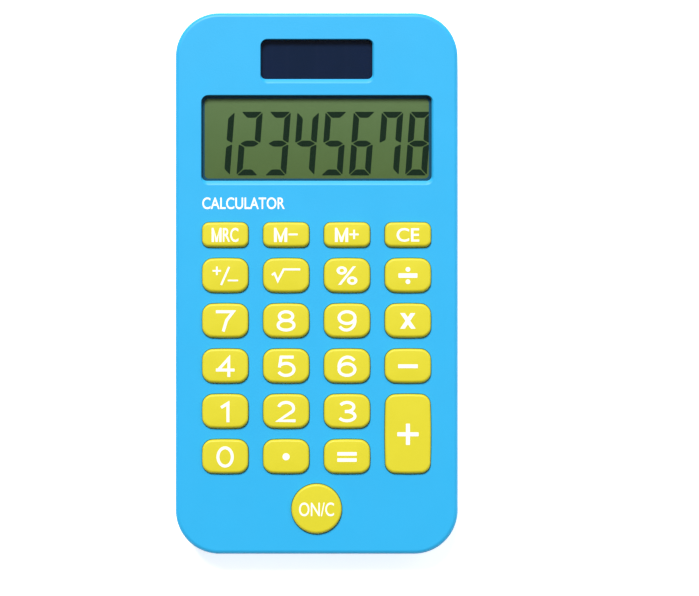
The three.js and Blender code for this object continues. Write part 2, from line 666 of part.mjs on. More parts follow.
// The silicone mat: a sheet with one hollow dome for each switch, and a conductive pill in each.
function rubberMat() {
  const grid = KEYS.filter((key) => !key.round);
  const power = KEYS.find((key) => key.round);
  const right = Math.max(...grid.map((key) => key.x + key.width / 2)) + FLANGE_OUT + MAT_MARGIN;
  const top = Math.max(...grid.map((key) => key.y + key.length / 2)) + FLANGE_OUT + MAT_MARGIN;
  const low = Math.min(...grid.map((key) => key.y - key.length / 2)) - FLANGE_OUT;
  const tabWidth = power.width + 2 * (FLANGE_OUT + MAT_MARGIN);
  const tabLow = power.y - power.length / 2;
  const tabLength = low + THROUGH - tabLow;
  const sheet = join([
    box(2 * right, top - low, SHEET_LOW_Z, SHEET_TOP_Z, 0, (top + low) / 2),
    box(tabWidth, tabLength, SHEET_LOW_Z, SHEET_TOP_Z, 0, tabLow + tabLength / 2),
  ]);
  const hollowBase = DOME_BASE - DOME_WALL;
  const hollowTop = DOME_TOP_Z - DOME_ROOF;
  const dome = [
    [0, SHEET_LOW_Z],
    [DOME_BASE, SHEET_LOW_Z],
    [DOME_BASE, SHEET_TOP_Z],
    [DOME_TOP, DOME_TOP_Z],
    [0, DOME_TOP_Z],
  ];
  const hollow = [
    [0, SHEET_LOW_Z - THROUGH],
    [hollowBase, SHEET_LOW_Z - THROUGH],
    [hollowBase, SHEET_TOP_Z],
    [DOME_TOP - DOME_WALL / 2, hollowTop],
    [0, hollowTop],
  ];
  const places = KEYS.flatMap((key) => key.domes.map((y) => [key.x, key.y + y, 0]));
  const spread = (solid) => places.map((place) => solid.translate(place));
  const pill = cylinder(PILL_RADIUS, BOARD_TOP_Z + KEY_TRAVEL, hollowTop + DOME_ROOF / 2, 0, 0, 6);
  return join([cut(join([sheet, ...spread(lathe(dome, 8))]), spread(lathe(hollow, 8))), ...spread(pill)]);
}

function circuitBoard() {
  const mainLength = BOARD_TOP_END - BOARD_SHOULDER_Y;
  const tabLength = BOARD_SHOULDER_Y - BOARD_LOW_END + THROUGH;
  return join([
    box(BOARD_WIDTH, mainLength, BOARD_LOW_Z, BOARD_TOP_Z, 0, BOARD_TOP_END - mainLength / 2),
    box(BOARD_TAB_WIDTH, tabLength, BOARD_LOW_Z, BOARD_TOP_Z, 0, BOARD_LOW_END + tabLength / 2),
  ]);
}

// The black resin blob over the bare chip, under the board. Its origin is on the board.
function chipBlob() {
  const shares = [0, 0.38, 0.71, 0.93];
  const dome = shares.map((share) => [CHIP_RADIUS * share, -CHIP_HEIGHT * (1 - share ** 3)]);
  return lathe([...dome, [CHIP_RADIUS, 0], [0, 0]], 14);
}

// ---------------------------------------------------------------- display and power

function zebraStrip() {
  const y = LEDGE_Y - SIDE_GAP - ZEBRA_THICKNESS / 2;
  return box(ZEBRA_WIDTH, ZEBRA_THICKNESS, BOARD_TOP_Z + REST_GAP, FRONT_GLASS_LOW_Z - REST_GAP, 0, y);
}

function buttonCell() {
  const radius = CELL_DIAMETER / 2;
  const capFoot = radius - CELL_RIM - CELL_GROOVE;
  return lathe(
    [
      [0, 0],
      [radius - CELL_EDGE, 0],
      [radius, CELL_EDGE],
      [radius, CELL_HEIGHT - CELL_RIM],
      [radius - CELL_RIM, CELL_HEIGHT - CELL_STEP],
      [capFoot, CELL_HEIGHT - CELL_STEP],
      [capFoot - SIDE_GAP, CELL_HEIGHT],
      [0, CELL_HEIGHT],
    ],
    28,
  );
}

// A stretch of a ring about Z, to the right of its middle.
function ringStretch(inner, outer, half) {
  const arc = (radius) => new THREE.EllipseCurve(0, 0, radius, radius, -half, half, false).getPoints(4);
  return [...arc(outer), ...arc(inner).reverse()];
}

// The tab by which a contact hangs over the well's wall on the right: its foot takes the lead.
function wallTab(from) {
  const wall = WELL_RADIUS + WELL_WALL + REST_GAP;
  const half = CONTACT_STRIP_WIDTH / 2 / wall;
  const top = CONTACT_Z + CONTACT_THICKNESS;
  return join([
    prism(ringStretch(from, wall + CONTACT_THICKNESS, half), CONTACT_Z, top, 0, CELL_Y),
    prism(ringStretch(wall, wall + CONTACT_THICKNESS, half), CONTACT_TAB_Z, top, 0, CELL_Y),
  ]);
}

// A strip across the well with a dimple that presses on the cell's inner face.
function negativeContact() {
  const middle = CONTACT_Z + CONTACT_THICKNESS / 2;
  const end = WELL_RADIUS + WELL_WALL / 2;
  const tip = -CONTACT_REACH;
  const width = CONTACT_STRIP_WIDTH;
  const dimple = [
    [0, CELL_TOP_Z + REST_GAP],
    [DIMPLE_TIP, CELL_TOP_Z + REST_GAP],
    [DIMPLE_TOP, middle],
    [0, middle],
  ];
  const contact = join([
    box(end - tip, width, CONTACT_Z, CONTACT_Z + CONTACT_THICKNESS, (end + tip) / 2, CELL_Y),
    lathe(dimple, 12).translate([0, CELL_Y, 0]),
    wallTab(WELL_RADIUS),
  ]);
  return mirrored(contact);
}

// A leaf that follows the cell's rim inside the well, with a tab folded over the well's wall.
function positiveContact() {
  const inner = CELL_DIAMETER / 2 + CONTACT_THICKNESS / 2;
  const leaf = ringStretch(inner, inner + CONTACT_THICKNESS, 0.5);
  const low = CELL_LOW_Z + CONTACT_TAB_RISE;
  return join([prism(leaf, low, CONTACT_Z + CONTACT_THICKNESS, 0, CELL_Y), wallTab(inner)]);
}

// A lead on the right-hand side, from the points given down to the floor, along it and up to the
// underside of the board.
function lead(start, floorX) {
  const floorZ = FLOOR_Z + WIRE_RADIUS + SIDE_GAP;
  const solderZ = BOARD_LOW_Z - REST_GAP - WIRE_RADIUS;
  return wire([
    ...start,
    [floorX, BOARD_TOP_END + 5, floorZ],
    [floorX, BOARD_TOP_END + 2, floorZ],
    [floorX, BOARD_TOP_END - 1, solderZ],
    [floorX, BOARD_TOP_END - 3, solderZ],
  ]);
}

function batteryLead() {
  const x = WELL_RADIUS + WELL_WALL + CONTACT_THICKNESS + WIRE_RADIUS + 3 * REST_GAP;
  const z = CONTACT_TAB_Z + WIRE_RADIUS;
  const shelfEdge = DOOR_WIDTH / 2 + SHELF_OVERLAP;
  const start = [
    [x, CELL_Y + 0.5, z],
    [x, CELL_Y - 1, z],
    [x + 1, CELL_Y - 3, z + 0.1],
    [shelfEdge + 0.8, CELL_Y - 4.8, z],
  ];
  return lead(start, shelfEdge + 2);
}

function solarLead() {
  const z = SOLAR_CELL_LOW_Z - REST_GAP;
  const x = SOLAR_CELL_WIDTH / 2;
  const start = [
    [x - 1, SOLAR_Y + 2, z],
    [x - 1, SOLAR_Y + 2, z - 0.7],
    [x + 0.5, SOLAR_Y, z - 2.4],
  ];
  return lead(start, x + 4);
}

// ---------------------------------------------------------------- the assembly

function finish(color, roughness, metalness = 0) {
  return new THREE.MeshStandardMaterial({ color, roughness, metalness });
}

const casePlastic = finish("#3fc0fb", 0.38);
const keyPlastic = finish("#eee440", 0.42);
const steel = finish("#c4c6c8", 0.3, 1);
const rubber = finish("#202123", 0.85);
const redWire = finish("#b3231d", 0.5);
const blackWire = finish("#17181a", 0.5);

function mesh(name, solid, material, x = 0, y = 0, z = 0) {
  const { vertProperties, triVerts } = solid.getMesh();
  const geometry = new THREE.BufferGeometry();
  geometry.setAttribute("position", new THREE.BufferAttribute(vertProperties, 3));
  geometry.setIndex(new THREE.BufferAttribute(triVerts, 1));
  geometry.computeVertexNormals();
  const made = new THREE.Mesh(geometry, material);
  made.name = name;
  made.position.set(x, y, z);
  return made;
}

// A part soldered to the underside of the board.
function underBoard(name, solid, colour, place) {
  const y = BOARD_TOP_END - place.fromEnd;
  return mesh(name, solid, finish(colour, 0.45), place.x, y, BOARD_LOW_Z - REST_GAP);
}

function group(...members) {
  const made = new THREE.Group();
  made.add(...members);
  return made;
}

const caseGroup = group(
  mesh("front_case", frontCase(), casePlastic),
  mesh("rear_case", rearCase(), casePlastic),
  ...SCREW_PLACES.map(({ side, x, y }) =>
    mesh(
      `case_screw_${side}`,
      screw(
        SCREW_HEAD_RADIUS,
        SCREW_HEAD_HEIGHT,
        SCREW_SHANK_RADIUS,
        FRONT_BOSS_LOW_Z + SCREW_BITE - HEAD_SEAT_Z,
      ),
      steel,
      x,
      y,
      HEAD_SEAT_Z,
    ),
  ),
  ...FOOT_PLACES.map(({ side, x, y }) => mesh(`foot_${side}`, foot(), rubber, x, y)),
);

const keyGroup = group(...KEYS.map((key) => mesh(key.name, keyCap(key), keyPlastic, key.x, key.y, FACE_Z)));

const displayGroup = group(
  mesh(
    "display_window",
    prism(
      rectangle(DISPLAY_WIDTH + 2 * LENS_OVERLAP, DISPLAY_LENGTH + 2 * LENS_OVERLAP),
      0,
      LENS_THICKNESS,
    ),
    finish("#e8f2f4", 0.05),
    0,
    DISPLAY_Y,
    LENS_LOW_Z,
  ),
  mesh(
    "lcd_polariser",
    prism(
      rectangle(DISPLAY_WIDTH + 2 * POLARISER_OVERLAP, DISPLAY_LENGTH + 2 * POLARISER_OVERLAP),
      0,
      POLARISER_THICKNESS,
    ),
    finish("#8a9a72", 0.2),
    0,
    DISPLAY_Y,
    POLARISER_LOW_Z,
  ),
  mesh(
    "lcd_front_glass",
    prism(rectangle(GLASS_WIDTH, REAR_GLASS_LENGTH + GLASS_LEDGE), 0, GLASS_THICKNESS),
    finish("#6f8255", 0.15),
    0,
    DISPLAY_Y - GLASS_LEDGE / 2,
    FRONT_GLASS_LOW_Z,
  ),
  mesh(
    "lcd_rear_glass",
    prism(rectangle(GLASS_WIDTH, REAR_GLASS_LENGTH), 0, GLASS_THICKNESS),
    finish("#7c8c66", 0.15),
    0,
    DISPLAY_Y,
    REAR_GLASS_LOW_Z,
  ),
  mesh(
    "lcd_reflector",
    prism(
      rectangle(DISPLAY_WIDTH + 2 * POLARISER_OVERLAP, DISPLAY_LENGTH + 2 * POLARISER_OVERLAP),
      0,
      REFLECTOR_THICKNESS,
    ),
    finish("#a8ab9c", 0.5, 0.6),
    0,
    DISPLAY_Y,
    REFLECTOR_LOW_Z,
  ),
  mesh("zebra_strip", zebraStrip(), finish("#5b5f66", 0.8)),
);

const switchGroup = group(
  mesh("rubber_mat", rubberMat(), finish("#b9bcc0", 0.8)),
  mesh("circuit_board", circuitBoard(), finish("#2f6b3c", 0.5)),
  underBoard("chip_blob", chipBlob(), "#101113", CHIP_PLACE),
  underBoard("capacitor_chip", box(...CAPACITOR_SIZE, 0), "#a98b62", CAPACITOR_PLACE),
  underBoard("resistor_chip", box(...RESISTOR_SIZE, 0), "#17181a", RESISTOR_PLACE),
);

const powerGroup = group(
  mesh(
    "solar_window",
    prism(rectangle(SOLAR_WIDTH + 2 * SOLAR_OVERLAP, SOLAR_LENGTH + 2 * SOLAR_OVERLAP), 0, LENS_THICKNESS),
    finish("#dfe9f0", 0.05),
    0,
    SOLAR_Y,
    LENS_LOW_Z,
  ),
  mesh(
    "solar_cell",
    prism(rectangle(SOLAR_WIDTH + 2 * SOLAR_OVERLAP, SOLAR_LENGTH + 2 * SOLAR_OVERLAP), 0, SOLAR_THICKNESS),
    finish("#1d2a40", 0.2),
    0,
    SOLAR_Y,
    SOLAR_CELL_LOW_Z,
  ),
  mesh("button_cell", buttonCell(), steel, 0, CELL_Y, CELL_LOW_Z),
  mesh("battery_contact_negative", negativeContact(), steel),
  mesh("battery_contact_positive", positiveContact(), steel),
  mesh("battery_door", batteryDoor(), casePlastic),
  mesh(
    "battery_door_screw",
    screw(DOOR_SCREW_HEAD_RADIUS, DOOR_SCREW_HEAD_HEIGHT, DOOR_SCREW_SHANK_RADIUS, DOOR_SCREW_LENGTH),
    steel,
    0,
    DOOR_SCREW_Y,
    DOOR_SCREW_SEAT_Z,
  ),
  mesh("battery_lead_red", batteryLead(), redWire),
  mesh("battery_lead_black", mirrored(batteryLead()), blackWire),
  mesh("solar_lead_red", solarLead(), redWire),
  mesh("solar_lead_black", mirrored(solarLead()), blackWire),
);

const calculator = group(caseGroup, keyGroup, displayGroup, switchGroup, powerGroup);

export default calculator;
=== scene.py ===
# %% [markdown]
# # A slim desk calculator, piece by piece
# The real calculator is two moulded plastic shells screwed together from behind, with rubbery
# yellow keys, a liquid crystal display, a solar cell and a button cell under a small door. The
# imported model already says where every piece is, so this script takes its places from there. It
# makes finer meshes for what can be seen, and gives every piece a finish.

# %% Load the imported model
import math

import bmesh
import bpy
from mathutils import Matrix, Vector


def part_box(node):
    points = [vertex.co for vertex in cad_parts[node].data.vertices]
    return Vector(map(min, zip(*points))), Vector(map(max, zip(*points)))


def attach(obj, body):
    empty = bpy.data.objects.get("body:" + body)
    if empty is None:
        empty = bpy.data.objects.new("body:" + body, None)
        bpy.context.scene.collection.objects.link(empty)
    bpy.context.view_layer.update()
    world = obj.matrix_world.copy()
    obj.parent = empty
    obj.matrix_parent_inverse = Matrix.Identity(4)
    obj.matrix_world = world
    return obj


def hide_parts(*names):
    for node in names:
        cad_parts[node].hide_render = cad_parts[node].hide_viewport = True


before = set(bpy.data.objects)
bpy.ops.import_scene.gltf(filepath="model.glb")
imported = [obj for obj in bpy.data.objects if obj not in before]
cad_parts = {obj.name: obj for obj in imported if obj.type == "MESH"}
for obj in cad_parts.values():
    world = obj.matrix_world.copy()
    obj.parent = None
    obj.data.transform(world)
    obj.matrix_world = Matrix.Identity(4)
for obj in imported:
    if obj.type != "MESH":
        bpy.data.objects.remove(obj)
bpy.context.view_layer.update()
print("pieces in the packed model:", len(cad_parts))

# %% [markdown]
# ## Millimetres, and the levels of the case
# A calculator is full of tenths of a millimetre, and Blender's tools work best when the numbers
# are near one. So each piece is modelled in millimetres, and is shrunk to metres when it is
# handed over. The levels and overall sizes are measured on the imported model.

# %% Levels and overall sizes
MM = 0.001


def corners(node):
    """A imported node's lowest and highest corners, in millimetres."""
    low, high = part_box(node)
    return low / MM, high / MM


def middle(node):
    low, high = corners(node)
    return (low + high) / 2


front_low, front_high = corners("front_case")
door_low, door_high = corners("battery_door")
lens_low = corners("display_window")[0]

WIDTH = front_high.x - front_low.x
LENGTH = front_high.y - front_low.y
FACE_Z = front_high.z
REAR_Z = door_low.z
FLOOR_Z = door_high.z
REST_GAP = 0.05  # between pieces that rest on each other
SIDE_GAP = 0.2  # between a piece and the walls that place it
CEILING_Z = lens_low.z - REST_GAP
print(f"case {WIDTH:.1f} x {LENGTH:.1f} mm, front face at {FACE_Z:.2f}, ceiling at {CEILING_Z:.2f}")

# %% [markdown]
# ## Camera, floor and light
# A product picture of a flat thing is usually taken from straight above, with a long lens, so
# that the edges stay parallel. The main light is a broad softbox beyond the display end, high
# enough to leave only a short shadow below each key. A weaker, wider one fills the shadows. The
# floor is plain and pale, and glows a little like a light table, which keeps the shadow on it
# faint.

# %% Camera, floor and lights
CAMERA_PLACE = (6.98, -3.10)  # over this point of the case
CAMERA_HEIGHT = 412  # above the front face
LENS = 100

scene = bpy.context.scene
scene.view_settings.view_transform = "Standard"
scene.view_settings.look = "None"

camera = bpy.data.objects.new("camera", bpy.data.cameras.new("camera"))
scene.collection.objects.link(camera)
camera.location = Vector((*CAMERA_PLACE, FACE_Z + CAMERA_HEIGHT)) * MM
camera.data.lens = LENS
camera.data.sensor_width = 36
camera.data.clip_start = 0.01
scene.camera = camera

bpy.ops.object.select_all(action="DESELECT")
bpy.ops.mesh.primitive_plane_add(size=4)
floor = bpy.context.object
floor.name = "floor"


def softbox(name, size, power, place):
    """A square area light in metres that faces the middle of the case."""
    lamp = bpy.data.objects.new(name, bpy.data.lights.new(name, "AREA"))
    scene.collection.objects.link(lamp)
    lamp.data.size = size
    lamp.data.energy = power
    lamp.location = place
    lamp.rotation_euler = (-Vector(place)).to_track_quat("-Z", "Y").to_euler()


softbox("key_light", 1.4, 272.0, (-0.7, 2.56, 3.4))
softbox("fill_light", 1.6, 10.5, (1.2, 0.6, 1.6))

world = bpy.data.worlds.new("studio")
scene.world = world
world.use_nodes = True
sky = world.node_tree.nodes["Background"]
sky.inputs["Color"].default_value = (1, 1, 1, 1)
sky.inputs["Strength"].default_value = 0.2

# %% [markdown]
# ## Finishes are sums
# A finish is easier to read as arithmetic than as a drawing of nodes. `Wire` wraps one socket of
# a material, and adding or multiplying wires adds the Math nodes. `Finish` is a material with
# one Principled shader. Whatever is the same all over is set on the shader's own socket.

# %% Wires and finishes


class Wire:
    """A socket of a finish. Arithmetic on it adds Math nodes."""

    def __init__(self, finish, socket):
        self.finish = finish
        self.socket = socket

    def maths(self, operation, *values):
        return self.finish.node("Math", dict(enumerate(values)), operation=operation)

    def __add__(self, other):
        return self.maths("ADD", self, other)

    __radd__ = __add__

    def __sub__(self, other):
        return self.maths("SUBTRACT", self, other)

    def __mul__(self, other):
        return self.maths("MULTIPLY", self, other)

    def __lt__(self, other):
        return self.maths("LESS_THAN", self, other)


class Finish:
    """A material with one Principled shader."""

    def __init__(self, name, colour, roughness, **sockets):
        self.name = name
        self.material = bpy.data.materials.new(name)
        self.material.use_nodes = True
        self.tree = self.material.node_tree
        self.shader = self.tree.nodes["Principled BSDF"]
        self.set("Base Color", colour)
        self.set("Roughness", roughness)
        for socket, value in sockets.items():
            self.set(socket.replace("_", " "), value)

    def set(self, socket, value):
        """Gives one of the shader's sockets a plain value or a wire."""
        self.feed(self.shader.inputs[socket], value)

    def show(self, factor, one, other):
        """Makes the finish a mixture of two shaders."""
        mixture = self.node("MixShader", {0: factor, 1: one, 2: other})
        self.feed(self.tree.nodes["Material Output"].inputs["Surface"], mixture)

    def feed(self, socket, value):
        if isinstance(value, Wire):
            self.tree.links.new(value.socket, socket)
        else:
            socket.default_value = value

    def node(self, kind, inputs=None, output=0, **settings):
        """Adds a node, sets it up, feeds its sockets, and returns one of its outputs."""
        node = self.tree.nodes.new("ShaderNode" + kind)
        for name, value in settings.items():
            setattr(node, name, value)
        for name, value in (inputs or {}).items():
            self.feed(node.inputs[name], value)
        return Wire(self, node.outputs[output])

    def places(self, centre=(0, 0, 0), stretch=(1, 1, 1)):
        """Places on the piece in millimetres, from a centre, stretched or squeezed."""
        where = self.node("TexCoord", output="Object")
        scale = [factor / MM for factor in stretch]
        shift = [-c * factor for c, factor in zip(centre, stretch)]
        return self.node("Mapping", {"Vector": where, "Scale": scale, "Location": shift})

    def noise(self, size, detail=2.0, stretch=(1, 1, 1)):
        """Cloudy noise from 0 to 1, with clouds of about this many millimetres."""
        inputs = {"Vector": self.places(stretch=stretch), "Scale": 1 / size, "Detail": detail}
        return self.node("TexNoise", inputs)

    def axis(self, letter, centre=(0, 0, 0)):
        """One coordinate on the piece, in millimetres."""
        return self.node("SeparateXYZ", {0: self.places(centre)}, "XYZ".index(letter))

    def ramp(self, factor, *stops):
        """A colour that runs through (position, colour) stops."""
        colours = self.node("ValToRGB", {"Fac": factor})
        elements = colours.socket.node.color_ramp.elements
        while len(elements) < len(stops):
            elements.new(0.5)
        for element, stop in zip(elements, stops):
            element.position, element.color = stop
        return colours

    def blend(self, factor, one, other):
        """One colour turning into another as the factor goes from 0 to 1."""
        return self.node("Mix", {0: factor, 6: one, 7: other}, 2, data_type="RGBA")

    def dents(self, height, depth):
        """Bumps of the given height pattern, this many millimetres deep."""
        inputs = {"Height": height, "Distance": depth * MM, "Strength": 1.0}
        self.set("Normal", self.node("Bump", inputs))

    def grain(self, size, depth, detail=4.0):
        """Cloudy bumps of this size and depth, in millimetres."""
        self.dents(self.noise(size, detail), depth)


def paint(red, green, blue):
    """A colour from 0 to 255 as a screen shows it, in the linear form that shaders take."""
    def straight(value):
        share = value / 255
        return share / 12.92 if share <= 0.04045 else ((share + 0.055) / 1.055) ** 2.4

    return (straight(red), straight(green), straight(blue), 1)


# %% [markdown]
# ## The plastics
# The shells are glossy ABS in one clear blue. Moulded plastic is never quite even: the colour
# swims by a hair, the mould leaves a faint grain, and fingers dull the shine in patches. The
# keys are a softer, yellow plastic with a slightly coarser grain. The white legends are ink.

# %% Plastics and inks


def moulded(name, colour, roughness, grain, swim=0.05, shine=0.3):
    """Moulded plastic: a hair of colour variation, patchy gloss and a fine grain."""
    finish = Finish(name, colour, roughness, Specular_IOR_Level=shine)
    deep = tuple(channel * (1 - swim) for channel in colour[:3]) + (1,)
    finish.set("Base Color", finish.blend(finish.noise(9.0), deep, colour))
    patches = finish.noise(5.0, detail=4.0)
    finish.set("Roughness", roughness - 0.06 + patches * 0.12)
    finish.grain(grain, 0.012, detail=3.0)
    return finish


case_plastic = moulded("case_plastic", paint(39, 160, 212), 0.44, grain=0.35)
key_plastic = moulded("key_plastic", paint(201, 191, 38), 0.46, grain=0.28, swim=0.06)
print_ink = moulded("print_ink", paint(232, 232, 222), 0.55, grain=0.2, swim=0.02)
# Painted shade: a dark ink for the line under the display window, standing in for the shade on the
# window's walls.
edge_ink = moulded("edge_ink", paint(12, 72, 98), 0.5, grain=0.3, shine=0.1)

# %% [markdown]
# ## The display's layers
# A liquid crystal display is a sandwich: a clear window, a polarising film, two sheets of glass
# and a silvery foil. Light goes down through all of it and comes back olive green, except where
# the liquid crystal blocks it. A renderer follows light through only a few clear layers, so the
# olive is put on the film, right under the window. The window is mixed from a clear shader and
# a mirror, by how steeply one looks at it.

# %% Clear plastic, glass and the olive field


def clear(name, tint, roughness, ior):
    """A clear sheet: see-through from straight above and more of a mirror at a slant.

    Light goes straight on through it, so only the outer side of each face mirrors.
    """
    finish = Finish(name, tint, roughness)
    seen = finish.node("BsdfTransparent", {"Color": tint})
    mirror = finish.node("BsdfGlossy", {"Color": (1, 1, 1, 1), "Roughness": roughness})
    outside = finish.node("NewGeometry", output="Backfacing") < 0.5
    share = finish.node("Fresnel", {"IOR": ior}) * outside
    finish.show(share, seen, mirror)
    return finish


clear_plastic = clear("clear_plastic", (0.97, 0.98, 0.98, 1), 0.06, 1.35)
display_glass = clear("display_glass", (0.96, 0.98, 0.96, 1), 0.05, 1.12)
solar_glass = clear("solar_glass", (0.92, 0.93, 0.98, 1), 0.06, 1.35)

field_low, field_high = corners("lcd_polariser")
olive_field = Finish("olive_field", paint(79, 104, 56), 0.5, Specular_IOR_Level=0.1)
# Painted light: the olive is painted lighter towards the top of the field, as light falling from
# beyond the display end; the mottle over it is random tone.
painted_light_rise = olive_field.axis("Y", field_low) * (1 / (field_high.y - field_low.y))
mottle = olive_field.noise(3.5, detail=3.0) * 0.25
olive_field.set(
    "Base Color",
    olive_field.ramp(
        painted_light_rise + mottle - 0.12,
        (0.0, paint(74, 94, 48)),
        (0.55, paint(79, 101, 58)),
        (1.0, paint(87, 108, 67)),
    ),
)
olive_field.grain(0.12, 0.004, detail=2.0)

segment_ink = moulded("segment_ink", paint(12, 34, 18), 0.5, grain=0.3, shine=0.05)
reflector_foil = Finish("reflector_foil", paint(186, 190, 180), 0.35, Metallic=0.9)
reflector_foil.grain(0.5, 0.02)

# %% [markdown]
# ## The other materials
# The solar cell is dark blue amorphous silicon in four strips with hairlines between them. The
# cell, the contacts and the screws are plated steel, brushed or turned along one direction. The
# rubber pieces are dull. The board is green laminate with copper under its lacquer.

# %% The solar cell, metals, rubbers and the board
solar_low, solar_high = corners("solar_window")
SOLAR_STRIPS = 4
HAIRLINE = 0.016  # half the gap between two strips, as a share of a strip

solar_silicon = Finish("solar_silicon", paint(14, 32, 52), 0.3, Specular_IOR_Level=0.05)
strip_pitch = (solar_high.x - solar_low.x) / SOLAR_STRIPS
across = solar_silicon.axis("X", solar_low) * (1 / strip_pitch)
from_line = across.maths("PINGPONG", across, 0.5)
hairline = from_line < HAIRLINE
sheen = solar_silicon.noise(14.0, detail=1.0)
silicon = solar_silicon.blend(sheen, paint(10, 30, 46), paint(18, 33, 60))
solar_silicon.set("Base Color", solar_silicon.blend(hairline * 0.35, silicon, paint(34, 44, 66)))
solar_silicon.set("Roughness", 0.3 + sheen * 0.04)


def plated(name, colour, roughness, stretch=(1, 12, 1)):
    """Plated steel with fine lines along one direction and a few duller patches."""
    finish = Finish(name, colour, roughness, Metallic=1.0)
    lines = finish.noise(0.5, detail=5.0, stretch=stretch)
    finish.set("Roughness", roughness - 0.08 + lines * 0.2)
    finish.dents(lines, 0.006)
    return finish


screw_steel = plated("screw_steel", paint(176, 178, 182), 0.34, stretch=(1, 1, 9))
cell_steel = plated("cell_steel", paint(205, 206, 208), 0.26)
contact_steel = plated("contact_steel", paint(196, 192, 178), 0.3, stretch=(9, 1, 1))


def rubbery(name, colour, grain):
    """Dull rubber with a soft grain and dusty patches."""
    finish = Finish(name, colour, 0.8)
    dust = finish.noise(3.0, detail=5.0)
    dusty = tuple(channel + 0.03 for channel in colour[:3]) + (1,)
    finish.set("Base Color", finish.blend(dust, colour, dusty))
    finish.set("Roughness", 0.72 + dust * 0.2)
    finish.grain(grain, 0.03)
    return finish


foot_rubber = rubbery("foot_rubber", paint(44, 46, 50), 0.3)
mat_silicone = rubbery("mat_silicone", paint(206, 208, 204), 0.4)

ZEBRA_PITCH = 0.5
zebra_rubber = rubbery("zebra_rubber", paint(150, 60, 60), 0.3)
along = zebra_rubber.axis("X") * (1 / ZEBRA_PITCH)
stripes = along.maths("PINGPONG", along, 0.5) < 0.25
zebra_rubber.set("Base Color", zebra_rubber.blend(stripes, paint(176, 92, 88), paint(36, 34, 36)))

board_laminate = Finish("board_laminate", paint(26, 96, 58), 0.4, Coat_Weight=0.4)
tracks = board_laminate.node(
    "TexBrick",
    {
        "Vector": board_laminate.places(),
        "Color1": paint(30, 108, 64),
        "Color2": paint(24, 88, 54),
        "Mortar": paint(70, 140, 70),
        "Scale": 1.0,
        "Mortar Size": 0.18,
        "Brick Width": 3.2,
        "Row Height": 1.6,
    },
    offset=0.35,
)
board_laminate.set("Base Color", tracks)
board_laminate.grain(0.4, 0.01)

chip_resin = rubbery("chip_resin", paint(22, 22, 24), 0.8)
chip_resin.set("Roughness", 0.22 + chip_resin.noise(1.5) * 0.15)
chip_ceramic = rubbery("chip_ceramic", paint(150, 118, 82), 0.2)
red_insulation = moulded("red_insulation", paint(186, 32, 28), 0.45, grain=0.3)
black_insulation = moulded("black_insulation", paint(24, 24, 26), 0.45, grain=0.3)

studio_floor = Finish("studio_floor", (0.9, 0.9, 0.9, 1), 0.8)
studio_floor.set("Emission Color", (1, 1, 1, 1))
studio_floor.set("Emission Strength", 0.68)
studio_floor.material.cycles.emission_sampling = "NONE"
below = studio_floor.node("NewGeometry", output="Backfacing")
pale = Wire(studio_floor, studio_floor.shader.outputs[0])
studio_floor.show(below, pale, studio_floor.node("BsdfTransparent"))
floor.data.materials.append(studio_floor.material)

# %% [markdown]
# ## Outlines, stacks and cuts
# Most of a calculator is outlines pushed through a height: rounded rectangles, circles, and the
# keys, whose sides bow out a little. `stack` starts from a flat circle of points, moves them on
# to the first outline and extrudes the face from each outline to the next. All outlines of one
# stack have the same number of points, so rims, flanges and hollows need no repair afterwards.

# %% Outlines
CORNER_STEPS = 10


def rounded(width, length, corner, x=0.0, y=0.0, steps=CORNER_STEPS):
    """Points round a rectangle with rounded corners."""
    points = []
    for quarter, (side_x, side_y) in enumerate([(1, 1), (-1, 1), (-1, -1), (1, -1)]):
        corner_x = x + side_x * (width / 2 - corner)
        corner_y = y + side_y * (length / 2 - corner)
        for step in range(steps + 1):
            turn = (quarter + step / steps) * math.pi / 2
            points.append((corner_x + corner * math.cos(turn), corner_y + corner * math.sin(turn)))
    return points


def split_sides(points, parts):
    """The same outline with its long straight sides split into parts."""
    finer = []
    for index, (x, y) in enumerate(points):
        next_x, next_y = points[(index + 1) % len(points)]
        straight = index % (CORNER_STEPS + 1) == CORNER_STEPS
        count = parts if straight else 1
        for share in [part / count for part in range(count)]:
            finer.append((x + (next_x - x) * share, y + (next_y - y) * share))
    return finer


def pillow(width, length, corner, bulge):
    """A rounded rectangle whose sides bow out by the bulge, to this width and length overall."""
    flat_width = width - 2 * bulge
    flat_length = length - 2 * bulge
    bowed = []
    for x, y in split_sides(rounded(flat_width, flat_length, corner), 8):
        out_x = 1 + 2 * bulge / flat_width * (1 - (2 * y / flat_length) ** 2)
        out_y = 1 + 2 * bulge / flat_length * (1 - (2 * x / flat_width) ** 2)
        bowed.append((x * out_x, y * out_y))
    return bowed


def circle(radius, x=0.0, y=0.0, count=48):
    turns = [2 * math.pi * step / count for step in range(count)]
    return [(x + radius * math.cos(turn), y + radius * math.sin(turn)) for turn in turns]


def rim(radius, steps=8):
    """(inset, drop) pairs along a rounded edge, from the flat face to the wall."""
    turns = [math.pi / 2 * step / steps for step in range(steps + 1)]
    return [(radius * (1 - math.sin(turn)), radius * (1 - math.cos(turn))) for turn in turns]


# %% Stacks, joins and cuts


def alone(piece):
    """Selects one object and nothing else."""
    bpy.ops.object.select_all(action="DESELECT")
    bpy.context.view_layer.objects.active = piece
    piece.select_set(True)


